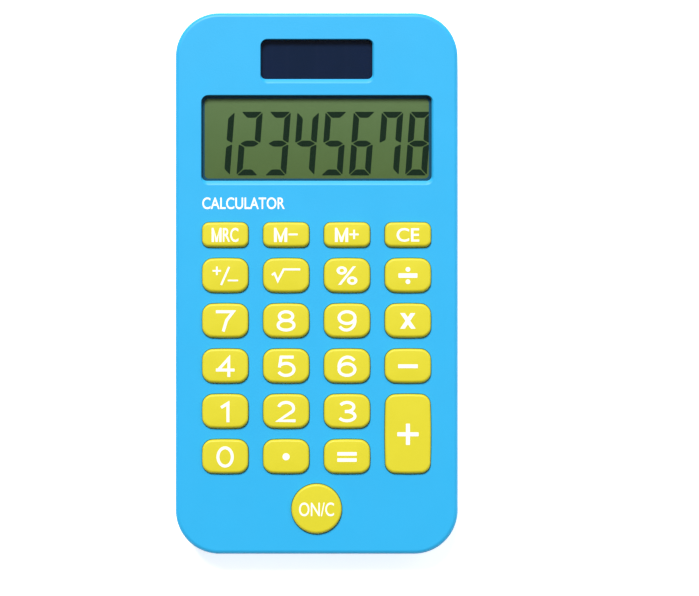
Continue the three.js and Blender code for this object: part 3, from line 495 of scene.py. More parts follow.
def stack(name, rings):
    """A closed solid through (outline, height) rings."""
    bpy.ops.object.select_all(action="DESELECT")
    first, height = rings[0]
    bpy.ops.mesh.primitive_circle_add(vertices=len(first), fill_type="NGON")
    piece = bpy.context.object
    piece.name = name
    for vertex, (x, y) in zip(piece.data.vertices, first):
        vertex.co = (x, y, height)
    bpy.ops.object.mode_set(mode="EDIT")
    bpy.ops.mesh.select_all(action="SELECT")
    for outline, height in rings[1:]:
        bpy.ops.mesh.extrude_region_move()
        edit = bmesh.from_edit_mesh(piece.data)
        lid = next(face for face in edit.faces if face.select)
        for vertex, (x, y) in zip(lid.verts, outline):
            vertex.co = (x, y, height)
    bpy.ops.mesh.select_all(action="SELECT")
    bpy.ops.mesh.normals_make_consistent(inside=False)
    bpy.ops.object.mode_set(mode="OBJECT")
    return piece


def slab(name, outline, low, high):
    """A closed solid with one outline from a lower to an upper height."""
    return stack(name, [(outline, low), (outline, high)])


def turned(name, profile, x, y, count=48):
    """A closed round solid through (radius, height) pairs."""
    return stack(name, [(circle(radius, x, y, count), height) for radius, height in profile])


def drums(radius, low, high, places):
    """Equal plain round tools at several places."""
    return merged([turned("drum", [(radius, low), (radius, high)], x, y) for x, y, *_ in places])


def block(width, length, low, high, x=0.0, y=0.0, corner=0.2):
    """A plain solid with softened upright edges, used as a tool."""
    return slab("block", rounded(width, length, corner, x, y, steps=3), low, high)


def merged(tools):
    """Several separate tools as one object."""
    alone(tools[0])
    for tool in tools[1:]:
        tool.select_set(True)
    if len(tools) > 1:
        bpy.ops.object.join()
    return tools[0]


def combine(piece, operation, *tools):
    """Joins tools on to a piece, or cuts them out of it, one after another."""
    for tool in tools:
        alone(piece)
        modifier = piece.modifiers.new(operation.lower(), "BOOLEAN")
        modifier.operation = operation
        modifier.solver = "EXACT"
        modifier.object = tool
        bpy.ops.object.modifier_apply(modifier=modifier.name)
        bpy.data.objects.remove(tool)


def smooth(piece, degrees=35):
    """Smooth shading up to an angle, with flat faces kept flat."""
    alone(piece)
    bpy.ops.object.shade_smooth_by_angle(angle=math.radians(degrees))
    modifier = piece.modifiers.new("even_normals", "WEIGHTED_NORMAL")
    modifier.keep_sharp = True
    modifier.weight = 100
    bpy.ops.object.modifier_apply(modifier=modifier.name)


def hand_over(piece, body, finish, *nodes, slot=None):
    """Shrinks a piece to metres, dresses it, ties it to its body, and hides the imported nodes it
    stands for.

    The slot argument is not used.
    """
    piece.data.transform(Matrix.Scale(MM, 4))
    piece.data.materials.clear()
    piece.data.materials.append(finish.material)
    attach(piece, body)
    if nodes:
        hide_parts(*nodes)
    faces = sum(len(polygon.vertices) - 2 for polygon in piece.data.polygons)
    print(f"{piece.name}: {faces} triangles")


# %% [markdown]
# ## The front shell
# The front shell is a tray, face up. One stack makes it: over the rounded rim, down the outside,
# in under the wall, past the rebate for the rear shell's lip, and up to the ceiling. The screw
# bosses, and the fences round the display and the solar cell, are joined on inside.

# %% The front shell's tray
BODY_CORNER = 9.3
FRONT_RIM = 1.0
SIDE_WALL = 1.6
REAR_SHELL_HEIGHT = 4.0
SEAM_GAP = 0.15
LIP_THICKNESS = 0.7
LIP_HEIGHT = 1.1
LIP_GAP = 0.1
SOFT_EDGE = 0.12  # small edges that a mould leaves soft

SEAM_Z = REAR_Z + REAR_SHELL_HEIGHT
LIP_TOP_Z = SEAM_Z + LIP_HEIGHT
FENCE = 0.7
FENCE_DEPTH = 1.5


def tray(name, levels):
    """A solid with the case's outline, through (inset, height) pairs."""
    rings = []
    for inset, height in levels:
        size = (WIDTH - 2 * inset, LENGTH - 2 * inset)
        rings.append((rounded(*size, BODY_CORNER - inset, steps=24), height))
    return stack(name, rings)


wall_low = SEAM_Z + SEAM_GAP / 2
rebate = SIDE_WALL - LIP_THICKNESS - LIP_GAP
levels = [(inset, FACE_Z - drop) for inset, drop in rim(FRONT_RIM)]
levels += [(0, wall_low + SOFT_EDGE), (SOFT_EDGE, wall_low), (rebate, wall_low)]
levels += [(inset, LIP_TOP_Z + LIP_GAP) for inset in (rebate, SIDE_WALL)]
front_shell = tray("front_shell", [*levels, (SIDE_WALL, CEILING_Z)])

# %% The front shell's bosses and fences
SCREWS = [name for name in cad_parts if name.startswith("case_screw")]
FRONT_BOSS = 2.2
REAR_BOSS = 3.0
PILOT_RADIUS = 0.95
BOSS_SPARE = 0.5  # room past the screw's tip

boss_low = front_low.z
screw_places = [middle(name) for name in SCREWS]
screw_tip = corners(SCREWS[0])[1].z
into_ceiling = CEILING_Z + SIDE_WALL / 2


def room(node, gap):
    """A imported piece's width and length with a gap all round, and its middle."""
    low, high = corners(node)
    size = high.x - low.x + 2 * gap, high.y - low.y + 2 * gap
    return *size, (low.x + high.x) / 2, (low.y + high.y) / 2


def fence(node):
    """Four walls that hang from the ceiling round a piece, as an outer and an inner block."""
    across, along, x, y = room(node, SIDE_GAP)
    bottom = CEILING_Z - FENCE_DEPTH
    outer = block(across + 2 * FENCE, along + 2 * FENCE, bottom, into_ceiling, x, y, 0.6)
    inner = block(across, along, bottom - 1, CEILING_Z, x, y)
    return outer, inner


outer_blocks, inner_blocks = zip(fence("lcd_front_glass"), fence("solar_cell"))
bosses = drums(FRONT_BOSS, boss_low, into_ceiling, screw_places)
pilots = drums(PILOT_RADIUS, boss_low - 1, screw_tip + BOSS_SPARE, screw_places)
combine(front_shell, "UNION", bosses, *outer_blocks)
combine(front_shell, "DIFFERENCE", *inner_blocks, pilots)

# %% [markdown]
# ## The keys' outlines
# There are four kinds of key: the usual one, the shallow ones of the top row, the tall plus and
# the round ON/C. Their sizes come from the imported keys, whose lowest part is a flange that
# catches under the front shell. The openings in the shell follow the same outlines.

# %% Kinds of key
KEYS = [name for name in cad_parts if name.startswith("key_")]
FLANGE_OUT = 0.5
FLANGE_THICKNESS = 0.8
KEY_GAP = 0.08
KEY_CORNER, KEY_BULGE = 1.9, 0.2
SHALLOW_CORNER, SHALLOW_BULGE = 1.3, 0.08
SHALLOW_LENGTH = 6


def key_outline(node, grow=0.0):
    """A key's outline about its own middle, grown all round."""
    low, high = corners(node)
    width = high.x - low.x - 2 * FLANGE_OUT + 2 * grow
    length = high.y - low.y - 2 * FLANGE_OUT + 2 * grow
    if node == "key_on_clear":
        return circle(width / 2, count=84)
    if length - 2 * grow < SHALLOW_LENGTH:
        return pillow(width, length, SHALLOW_CORNER + grow, SHALLOW_BULGE)
    return pillow(width, length, KEY_CORNER + grow, KEY_BULGE)


def moved(points, x, y):
    return [(px + x, py + y) for px, py in points]


# %% Openings for the keys
OPENING_EDGE = 0.1  # radius of the softened edge round each opening


def opening(node):
    """A cutting tool for a key's opening, which flares where it meets the front face."""
    x, y, _ = middle(node)
    rings = [(key_outline(node, KEY_GAP), CEILING_Z - 1)]
    for step in range(6):
        turn = math.radians(14 * step)
        out = OPENING_EDGE * (1 - math.cos(turn))
        below = OPENING_EDGE * (1 - math.sin(turn))
        rings.append((key_outline(node, KEY_GAP + out), FACE_Z - below))
    rings.append((key_outline(node, KEY_GAP + 2 * OPENING_EDGE), FACE_Z + 1))
    return stack("opening", [(moved(points, x, y), height) for points, height in rings])


combine(front_shell, "DIFFERENCE", merged([opening(node) for node in KEYS]))

# %% [markdown]
# ## Windows in the front shell
# Each window is a hole whose lower side slopes, so that it catches the light, and whose other
# sides have a narrower bevel. A pocket from below takes the clear plastic.

# %% Windows and their pockets
DISPLAY_SIZE = (48.85, 18.1)
SOLAR_SIZE = (23.7, 8.4)
WINDOW_CORNER = 1.1
SOLAR_CORNER = 1.05
BEVEL_DEPTH = 0.42
BEVEL_BELOW = 0.95
BEVEL_RIGHT = 0.4
BEVEL_ELSEWHERE = 0.12
BEVEL_CURVE = 1.3
BEVEL_SHARES = (0.1, 0.35, 0.6, 0.85, 0.97)


def window_tool(size, corner, place):
    """A cutting tool for a window and the bevels round it."""

    def ring(share, height):
        left, right = BEVEL_ELSEWHERE * share, BEVEL_RIGHT * share
        above, below = BEVEL_ELSEWHERE * share, BEVEL_BELOW * share
        width, length = size[0] + left + right, size[1] + above + below
        x, y = place.x + (right - left) / 2, place.y + (above - below) / 2
        return rounded(width, length, corner + (left + below) / 2, x, y, 12), height

    rings = [ring(0, CEILING_Z - 2), ring(0, FACE_Z - BEVEL_DEPTH - 0.05)]
    for share in BEVEL_SHARES:
        rings.append(ring(share, FACE_Z - BEVEL_DEPTH * (1 - share) ** BEVEL_CURVE))
    return stack("window_tool", [*rings, ring(1, FACE_Z), ring(1.2, FACE_Z + 1)])


def pocket_tool(node):
    """A cutting tool for the pocket that a window's clear plastic sits in."""
    across, along, x, y = room(node, REST_GAP)
    return block(across, along, CEILING_Z - 0.5, corners(node)[1].z + REST_GAP, x, y)


for size, corner, node in [
    (DISPLAY_SIZE, WINDOW_CORNER, "display_window"),
    (SOLAR_SIZE, SOLAR_CORNER, "solar_window"),
]:
    hole = window_tool(size, corner, middle(node))
    combine(front_shell, "DIFFERENCE", pocket_tool(node), hole)

smooth(front_shell)
hand_over(front_shell, "case", case_plastic, "front_case")

# %% [markdown]
# ## The rear shell
# The rear shell is the other tray, made the same way from its bottom up, with the lip that goes
# up inside the front shell. Then come the screw bosses, the posts that hold the board up, and
# the well of the button cell with its shelf, and last the holes.

# %% The rear shell's tray
REAR_RIM = 1.4

lip_out = SIDE_WALL - LIP_THICKNESS
wall_top = SEAM_Z - SEAM_GAP / 2
levels = [(inset, REAR_Z + drop) for inset, drop in rim(REAR_RIM)]
levels += [(0, wall_top - SOFT_EDGE), (SOFT_EDGE, wall_top), (lip_out, wall_top)]
levels += [(lip_out, LIP_TOP_Z - SOFT_EDGE), (lip_out + SOFT_EDGE, LIP_TOP_Z)]
rear_shell = tray("rear_shell", [*levels, (SIDE_WALL, LIP_TOP_Z), (SIDE_WALL, FLOOR_Z)])

# %% Bosses, posts and the well
BOSS_RISE = 1.9
POST_RADIUS = 1.0
POST_ROWS = 4
POST_IN = 2.5
BOARD_SHOULDER = 13.5  # from the case's lower end to where the board is full width
SHELF_OVERLAP = 1.7
SHELF_THICKNESS = 1.0
DOOR_GAP = 0.15
DOOR_CORNER = 1.5
TONGUE_LENGTH = 1.0
TONGUE_THICKNESS = 0.7
TONGUE_WIDTH = 3.0
TONGUE_SPACING = 9.0
TONGUE_HEADROOM = 1.5
WELL_GAP = 0.5
WELL_WALL = 0.8
CONTACT_RISE = 0.15
DOOR_BOSS = 1.9
DOOR_BOSS_ROOF = 0.7
DOOR_HEAD, DOOR_SHANK = 1.5, 0.8  # radii of the door's screw
DOOR_HEAD_HEIGHT = 0.8
SCREW_SWING = 0.35

battery_low, battery_high = corners("button_cell")
battery = middle("button_cell")
door_screw_top = corners("battery_door_screw")[1].z
door_screw = middle("battery_door_screw")
board_low, board_high = corners("circuit_board")

door_width = door_high.x - door_low.x
door_length = door_high.y - door_low.y - TONGUE_LENGTH
door_y = door_low.y + door_length / 2
hinge_y = door_low.y + door_length
shelf_low = FLOOR_Z + DOOR_GAP
well_radius = (battery_high.x - battery_low.x) / 2 + WELL_GAP
well_top = battery_high.z + CONTACT_RISE
into_floor = FLOOR_Z - 0.7  # where pieces on the floor begin, so that they are one with it

post_x = board_high.x - POST_IN
post_first = -LENGTH / 2 + BOARD_SHOULDER + POST_IN
post_step = (board_high.y - POST_IN - post_first) / (POST_ROWS - 1)
post_rows = [post_first + row * post_step for row in range(POST_ROWS)]
post_places = [(side * post_x, y) for y in post_rows for side in (-1, 1)]


def door_outline(grow, corner):
    """The door's outline, grown all round."""
    return rounded(door_width + 2 * grow, door_length + 2 * grow, corner, 0, door_y)


shelf_outline = door_outline(SHELF_OVERLAP, DOOR_CORNER)
combine(
    rear_shell,
    "UNION",
    drums(REAR_BOSS, into_floor, FLOOR_Z + BOSS_RISE, screw_places),
    drums(POST_RADIUS, into_floor, board_low.z - REST_GAP, post_places),
    slab("shelf", shelf_outline, into_floor, shelf_low + SHELF_THICKNESS),
    drums(well_radius + WELL_WALL, shelf_low, well_top, [battery]),
    drums(DOOR_BOSS, shelf_low, door_screw_top + DOOR_BOSS_ROOF, [door_screw]),
)

# %% Holes in the rear shell
HEAD_DEPTH = 1.55
HEAD_RADIUS = 1.85
HEAD_HEIGHT = 1.3
SHANK_RADIUS = 0.9
FOOT_SEAT = 0.45
FEET = [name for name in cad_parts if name.startswith("foot_")]

# How far a cutting tool is grown at each height, to leave a soft edge round a mouth in the back.
MOUTH = [(3 * SOFT_EDGE, REAR_Z - 1), (SOFT_EDGE, REAR_Z), (0, REAR_Z + SOFT_EDGE)]


def flared(radius, high, places):
    """Round cutting tools from below, with soft mouths."""
    profile = [(radius + out, height) for out, height in [*MOUTH, (0, high)]]
    return merged([turned("flared", profile, place.x, place.y) for place in places])


foot_places = [middle(name) for name in FEET]
foot_radius = (corners(FEET[0])[1].x - corners(FEET[0])[0].x) / 2
across, along, _, glass_y = room("lcd_rear_glass", SIDE_GAP)
display_low = corners("lcd_reflector")[0].z - REST_GAP
display_room = block(across, along, display_low, CEILING_Z, 0, glass_y)


def door_opening():
    """A cutting tool for the door, with a soft mouth."""
    grown = [(DOOR_GAP + out, height) for out, height in [*MOUTH, (0, shelf_low)]]
    rings = [(door_outline(grow, DOOR_CORNER + grow), height) for grow, height in grown]
    return stack("door_opening", rings)


def slot_tool(x):
    width = TONGUE_WIDTH + 2 * SIDE_GAP
    length = 2 * (TONGUE_LENGTH + SIDE_GAP)
    low = FLOOR_Z - TONGUE_THICKNESS - DOOR_GAP
    return block(width, length, low, FLOOR_Z + TONGUE_HEADROOM, x, hinge_y, 0.1)


sides = (-TONGUE_SPACING / 2, TONGUE_SPACING / 2)
combine(
    rear_shell,
    "DIFFERENCE",
    display_room,
    flared(HEAD_RADIUS + SIDE_GAP, REAR_Z + HEAD_DEPTH, screw_places),
    drums(SHANK_RADIUS + SIDE_GAP, REAR_Z, FLOOR_Z + 2 * BOSS_RISE, screw_places),
    flared(foot_radius + REST_GAP, REAR_Z + FOOT_SEAT + REST_GAP, foot_places),
    door_opening(),
    merged([slot_tool(x) for x in sides]),
    drums(well_radius, REAR_Z, well_top + 1, [battery]),
    drums(DOOR_SHANK + SCREW_SWING, REAR_Z, door_screw_top + SIDE_GAP, [door_screw]),
)
smooth(rear_shell)
hand_over(rear_shell, "case", case_plastic, "rear_case")

# %% [markdown]
# ## The key caps
# A cap is one stack too: up the plunger that pushes the mat's dome, across the hollow, down
# inside, out round the flange, up the wall and over the rounded rim. The top is slightly
# crowned, as moulded keys are, so that light slides over it.

# %% Key caps
KEY_RIM = 0.5
KEY_SKIN = 1.1
PLUNGER = 1.3
CROWN = 0.08
CROWN_SHARES = (0.93, 0.8, 0.62, 0.42, 0.22, 0.06)
KEY_LEAN = 0.35  # how far the lower side of a cap leans in between the face and its top


def leaning(node, rings):
    """The same rings with their lower halves drawn in, more and more above the case's face."""
    low, high = corners(node)
    reach = (high.y - low.y) / 2 - FLANGE_OUT
    drawn_in = []
    for outline, level in rings:
        share = max(0, level - FACE_Z) / (high.z - FACE_Z)
        squeeze = 1 - KEY_LEAN / reach * share
        drawn_in.append(([(x, y * squeeze if y < 0 else y) for x, y in outline], level))
    return drawn_in


def cap_rings(node):
    """The rings of a key cap about its own middle."""
    low, high = corners(node)
    top = high.z
    flange_top = low.z + FLANGE_THICKNESS
    hollow_top = top - KEY_SKIN
    around = [Vector(point).normalized() * PLUNGER for point in key_outline(node)]
    plunger = [(point.x, point.y) for point in around]
    wall = [(-KEY_SKIN, hollow_top), (-KEY_SKIN, low.z), (FLANGE_OUT, low.z)]
    wall += [(FLANGE_OUT, flange_top), (0, flange_top), (0, FACE_Z)]
    wall += [(-inset, top - CROWN - drop) for inset, drop in reversed(rim(KEY_RIM, steps=7))]
    rings = [(plunger, low.z), (plunger, hollow_top)]
    rings += [(key_outline(node, grow), height) for grow, height in wall]
    inner = key_outline(node, -KEY_RIM)
    for share in CROWN_SHARES:
        ring = [(x * share, y * share) for x, y in inner]
        rings.append((ring, top - CROWN * share * share))
    return leaning(node, rings)


def copied(master, name, x, y):
    """A copy with its own mesh, moved to a place."""
    twin = master.copy()
    twin.data = master.data.copy()
    twin.name = name
    scene.collection.objects.link(twin)
    twin.data.transform(Matrix.Translation((x, y, 0)))
    return twin


def cap_master(node):
    """A cap about its own middle. The tall key has two plungers, each over its own dome."""
    rings = cap_rings(node)
    if node != "key_plus":
        return stack("cap_master", rings)
    (_, low), (_, hollow_top), *shell = rings
    master = stack("cap_master", shell)
    dome = (middle("key_4").y - middle("key_1").y) / 2
    root = hollow_top + KEY_SKIN / 3
    combine(master, "UNION", *[drums(PLUNGER, low, root, [(0, y)]) for y in (-dome, dome)])
    return master


masters = {}
caps = {}
for node in KEYS:
    low, high = corners(node)
    kind = (round(high.x - low.x, 2), round(high.y - low.y, 2))
    if kind not in masters:
        masters[kind] = cap_master(node)
        smooth(masters[kind])
    x, y, _ = middle(node)
    caps[node] = copied(masters[kind], node.replace("key_", "cap_"), x, y)
for master in masters.values():
    bpy.data.objects.remove(master)
print("kinds of key:", len(masters), "keys:", len(caps))

# %% [markdown]
# ## The legends
# The legends are printed in white ink, a few hundredths of a millimetre thick. Letters come
# from a text object, made a mesh and fitted to the printed size. The digits and the M are drawn
# with a few strokes, and signs are bars and dots. Every one is laid on its cap by dropping each
# of its points on to the crowned top.

# %% Laying ink on a surface
INK = 0.03  # how far ink stands above what it is printed on
MARK = 0.01  # half the thickness of a flat mark before it is laid
LONGEST_EDGE = 0.8  # of a mark, so that it follows the curve of the surface
SHORTEST_EDGE = 0.004  # of a mark, where two of its strokes meet
WELL_ABOVE = 50  # the height that points are dropped from
BOLD = 0.012  # how far a common letter's outline is pushed outwards


def divided(mark):
    """Splits a mark's long edges in half until none is long."""
    mesh = bmesh.new()
    mesh.from_mesh(mark.data)
    bmesh.ops.dissolve_degenerate(mesh, dist=SHORTEST_EDGE, edges=mesh.edges)
    while long_edges := [edge for edge in mesh.edges if edge.calc_length() > LONGEST_EDGE]:
        bmesh.ops.subdivide_edges(mesh, edges=long_edges, cuts=1)
        bmesh.ops.triangulate(mesh, faces=mesh.faces)
    mesh.to_mesh(mark.data)
    mesh.free()


def lay(mark, surface, x, y):
    """Moves a flat mark to a place and drops it on to a surface as a thin layer of ink."""
    divided(mark)
    mark.data.transform(Matrix.Translation((x, y, 0)))
    for vertex in mark.data.vertices:
        above = Vector((vertex.co.x, vertex.co.y, WELL_ABOVE))
        found, spot, _, _ = surface.ray_cast(above, (0, 0, -1))
        level = spot.z if found else FACE_Z
        vertex.co.z = level + INK * vertex.co.z / MARK


def lettering(words, width, height, weight=0.0):
    """Words as a thin closed mesh about the origin, fitted to a width and a height."""
    bpy.ops.object.select_all(action="DESELECT")
    bpy.ops.object.text_add()
    text = bpy.context.object
    text.data.body = words
    text.data.extrude = MARK
    text.data.offset = weight
    text.data.resolution_u = 6
    bpy.ops.object.convert(target="MESH")
    mark = bpy.context.object
    alone(mark)
    bpy.ops.object.mode_set(mode="EDIT")
    bpy.ops.mesh.select_all(action="SELECT")
    bpy.ops.mesh.remove_doubles(threshold=1e-5)
    bpy.ops.mesh.normals_make_consistent(inside=False)
    bpy.ops.object.mode_set(mode="OBJECT")
    xs = [vertex.co.x for vertex in mark.data.vertices]
    ys = [vertex.co.y for vertex in mark.data.vertices]
    centre = Vector(((min(xs) + max(xs)) / 2, (min(ys) + max(ys)) / 2, 0))
    fit = Matrix.Diagonal((width / (max(xs) - min(xs)), height / (max(ys) - min(ys)), 1, 1))
    mark.data.transform(fit @ Matrix.Translation(-centre))
    return mark


def sign(*outlines):
    """A mark made of several flat outlines."""
    return merged([slab("sign", points, -MARK, MARK) for points in outlines])


def bar(length, thick, x=0.0, y=0.0, degrees=0.0):
    """A straight stroke with barely rounded ends."""
    turn = Matrix.Rotation(math.radians(degrees), 2)
    ends = [turn @ Vector(point) for point in rounded(length, thick, thick * 0.12, steps=2)]
    return [(point.x + x, point.y + y) for point in ends]


def cross(length, thick, arm, x=0.0, y=0.0):
    """The three bars of a plus: one across, and one above and one below it."""
    out = (thick + arm) / 2
    arms = [bar(arm, thick, x, y + side * out, 90) for side in (1, -1)]
    return bar(length, thick, x, y), *arms


def stroke(thick, *points):
    """Joined straight strokes of one thickness, with mitred corners."""
    left, right = [], []
    for index, point in enumerate(points):
        here = Vector(point)
        before = Vector(points[max(index - 1, 0)])
        after = Vector(points[min(index + 1, len(points) - 1)])
        ways = [way.normalized() for way in (here - before, after - here) if way.length > 0]
        along = sum(ways, Vector((0, 0))).normalized()
        across = Vector((-along.y, along.x))
        reach = thick / 2 / max(0.4, across.dot(Vector((-ways[0].y, ways[0].x))))
        left.append(here + across * reach)
        right.append(here - across * reach)
    return [(point.x, point.y) for point in left + right[::-1]]


# %% Words on the keys, and the digits, each drawn with a few even strokes
PEN = 0.62  # width of the strokes
HALF_WIDE, HALF_HIGH = 1.69, 1.94  # reach of the middle of the strokes


def arc(x, y, wide, high, start, end, steps=24):
    """Points along part of an ellipse, between two angles in degrees."""
    angles = [math.radians(start + (end - start) * step / steps) for step in range(steps + 1)]
    return [(x + wide * math.cos(angle), y + high * math.sin(angle)) for angle in angles]


def ring(x, y, wide, high):
    """A closed loop: the band between two ellipses."""
    grow = PEN / 2
    outer = arc(x, y, wide + grow, high + grow, 0, 360, 36)[:-1]
    inner = arc(x, y, wide - grow, high - grow, 0, 360, 36)[:-1]
    loop = sign(outer)
    combine(loop, "DIFFERENCE", slab("hole", inner, -2 * MARK, 2 * MARK))
    return loop


def pen(*points, thick=PEN):
    return sign(stroke(thick, *points))


def joined(first, other):
    """Two strokes made into one solid."""
    combine(first, "UNION", other)
    return first


def six():
    back = arc(0.12, 0, HALF_WIDE + 0.12, HALF_HIGH, 38, 196)
    return joined(ring(0, -0.7, HALF_WIDE, 1.24), pen(*back))


def nine():
    digit = six()
    digit.data.transform(Matrix.Rotation(math.pi, 4, "Z"))
    return digit


foot, top = -HALF_HIGH - PEN / 2, HALF_HIGH
legends = {
    "key_ce": lettering("CE", 4.8, 2.9, BOLD),
    "key_on_clear": lettering("ON/C", 7.4, 2.9, 0.006),
    "key_percent": lettering("%", 4.4, 3.9, 0.008),
    "key_0": ring(0, 0, 1.52, HALF_HIGH),
    "key_1": pen((-0.85, 0.85), (0.6, 1.75), (0.6, foot)),
    "key_2": pen(*arc(0, 0.7, 1.6, 1.24, 165, -32), (-1.6, -top), (2.0, -top)),
    "key_3": joined(
        pen(*arc(0, 0.99, 1.45, 0.95, 155, -90), (-0.45, 0.04)),
        pen((-0.45, 0), *arc(0, -0.97, HALF_WIDE, 0.97, 90, -155)),
    ),
    "key_4": joined(
        pen((0.78, foot), (0.78, 1.7), (-1.45, -0.8)),
        pen((-1.95, -0.8), (2.0, -0.8)),
    ),
    "key_5": joined(
        pen((1.6, top), (-1.05, top), (-1.4, -0.25)),
        pen(*arc(0, -0.66, HALF_WIDE, 1.28, 148, -155)),
    ),
    "key_6": six(),
    "key_7": pen((-1.95, top), (1.7, top), (0.3, 0.1), (-0.4, foot)),
    "key_8": joined(ring(0, 1.0, 1.42, 0.94), ring(0, -0.92, HALF_WIDE, 1.02)),
    "key_9": nine(),
}

# %% Signs on the keys
LETTER_HEIGHT = 3.0
CHECK_MARK = [(-3.0, 0.1), (-2.45, 0.5), (-1.75, -1.15), (-0.5, 1.3), (3.0, 1.3)]


def letter_m(width, stem, x):
    """The outline of a bold M, drawn from listed points because a thickened text M folds over
    itself.
    """
    half, top, peak = width / 2, LETTER_HEIGHT / 2, stem * 0.42
    right = [(stem * 0.75 - half, top), (0, -top + stem * 1.6), (half - stem * 0.75, top)]
    right += [(half, top), (half, -top), (half - stem, -top), (half - stem, top - stem * 1.3)]
    left = [(peak, -top), (-peak, -top), (stem - half, top - stem * 1.3), (stem - half, -top)]
    return moved(right + left + [(-half, -top), (-half, top)], x, 0)


def memory_sign(*strokes):
    """A bold M with a thin sign after it."""
    return sign(letter_m(2.8, 0.6, -1.15), *strokes)


def memory_recall():
    """A narrow MRC."""
    rest = lettering("RC", 3.3, LETTER_HEIGHT, BOLD)
    rest.data.transform(Matrix.Translation((1.17, 0, 0)))
    return merged([sign(letter_m(2.1, 0.5, -1.8)), rest])


legends |= {
    "key_mrc": memory_recall(),
    "key_m_minus": memory_sign(bar(1.95, 0.38, 1.5, 0.1)),
    "key_m_plus": memory_sign(*cross(1.95, 0.38, 0.8, 1.5, 0.1)),
    "key_minus": sign(bar(4.15, 0.8)),
    "key_equals": sign(bar(4.1, 0.74, 0, 0.66), bar(4.1, 0.74, 0, -0.66)),
    "key_plus": sign(*cross(4.5, 0.85, 1.825)),
    "key_multiply": lettering("x", 3.3, 3.3, 0.03),
    "key_divide": sign(bar(4.0, 0.95), circle(0.5, 0, 1.3, 24), circle(0.5, 0, -1.3, 24)),
    "key_point": sign(circle(0.75, 0, 0, 32)),
    "key_root": pen(*CHECK_MARK, thick=0.42),
    "key_sign": sign(
        *cross(1.8, 0.36, 0.72, -1.75, 1.0),
        bar(4.2, 0.42, 0, -0.1, 66),
        bar(2.2, 0.34, 1.65, -1.05),
    ),
}
LEGEND_LIFT = {"key_point": 0.05}

for node, mark in legends.items():
    x, y, _ = middle(node)
    lay(mark, caps[node], x, y + LEGEND_LIFT.get(node, 0))
    mark.name = node.replace("key_", "legend_")
    hand_over(caps[node], node, key_plastic, node)
    hand_over(mark, node, print_ink, slot="key_plastic")

# %% [markdown]
# ## The display and the solar cell
# All the flat layers are sheets with softened edges: the two windows, the display's glass and
# film, and the solar cell. A thin dark line under the display window is painted shade for the
# window's walls, and hides the edges of the film. The film carries the olive field, and the lit
# segments lie on it as thin dark shapes. All the digits come from one seven-segment drawing.

# %% The windows


def sheet(name, node, finish, edge, corner, slot=None):
    """A flat rectangular sheet with softened edges all round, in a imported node's place."""
    low, high = corners(node)
    x, y, _ = middle(node)

    def ring(inset, height):
        size = (high.x - low.x - 2 * inset, high.y - low.y - 2 * inset)
        return rounded(*size, corner, x, y, steps=5), height

    rings = [ring(inset, low.z + drop) for inset, drop in rim(edge, steps=4)]
    rings += [ring(inset, high.z - drop) for inset, drop in reversed(rim(edge, steps=4))]
    piece = stack(name, rings)
    smooth(piece)
    hand_over(piece, "case", finish, node, slot=slot)


sheet("display_pane", "display_window", clear_plastic, 0.12, 0.5)
sheet("solar_pane", "solar_window", solar_glass, 0.12, 0.5)

# %% Painted shade round the display: a dark line under the window
SHADE_BAND = 0.55  # how far it can be seen inside the opening
SHADE_BAND_OUT = 0.4  # how far it goes on under the case
shade_band_top = lens_low.z - 0.005
lens = middle("display_window")


def shade_band_side(grow, corner):
    width, length = DISPLAY_SIZE
    return rounded(width + 2 * grow, length + 2 * grow, corner, lens.x, lens.y)


outer = shade_band_side(SHADE_BAND_OUT, WINDOW_CORNER + SHADE_BAND_OUT)
inner = shade_band_side(-SHADE_BAND, WINDOW_CORNER * 0.8)
painted_wall_shade = slab("display_edge_line", outer, shade_band_top - INK, shade_band_top)
combine(painted_wall_shade, "DIFFERENCE", slab("hole", inner, shade_band_top - 1, shade_band_top + 1))
hand_over(painted_wall_shade, "case", edge_ink, slot="clear_plastic")

# %% The glass and its olive field
sheet("lcd_front_glass_sheet", "lcd_front_glass", display_glass, 0.04, 0.15)
sheet("lcd_rear_glass_sheet", "lcd_rear_glass", display_glass, 0.04, 0.15)
sheet("lcd_polariser_sheet", "lcd_polariser", olive_field, 0.04, 0.15, "polariser_film")

# %% Seven segments
DIGIT_HEIGHT = 13.55
DIGIT_WIDTH = 4.6
DIGIT_PITCH = 5.99
SEGMENT = 1.27
SEGMENT_GAP = 0.13
SLANT = math.tan(math.radians(4.3))
FIRST_DIGIT = (-23.1, 23.02)  # lower left corner of the first digit


def blunted(points, cut=0.2):
    """An outline with every corner cut off, this far along both of its sides."""
    corners_cut = []
    for index, point in enumerate(points):
        here = Vector(point)
        for other in (points[index - 1], points[(index + 1) % len(points)]):
            side = Vector(other) - here
            corners_cut.append(tuple(here + side.normalized() * cut))
    return corners_cut


def segments():
    """The seven strokes of one digit: top, upper right, lower right, and so on to the middle."""
    w, h, t, g = DIGIT_WIDTH, DIGIT_HEIGHT, SEGMENT, SEGMENT_GAP
    half = h / 2
    top = [(g, h), (w - g, h), (w - t - g, h - t), (t + g, h - t)]
    upper_right = [(w, h - g), (w - t, h - t - g), (w - t, half + t / 2 + g), (w, half + g)]
    centre = [(2 * g, half), (t + g, half + t / 2), (w - t - g, half + t / 2)]
    centre += [(w - 2 * g, half), (w - t - g, half - t / 2), (t + g, half - t / 2)]

    def upside_down(points):
        return [(x, h - y) for x, y in points]

    def other_side(points):
        return [(w - x, y) for x, y in points]

    return {
        "a": top,
        "b": upper_right,
        "c": upside_down(upper_right),
        "d": upside_down(top),
        "e": other_side(upside_down(upper_right)),
        "f": other_side(upper_right),
        "g": centre,
    }


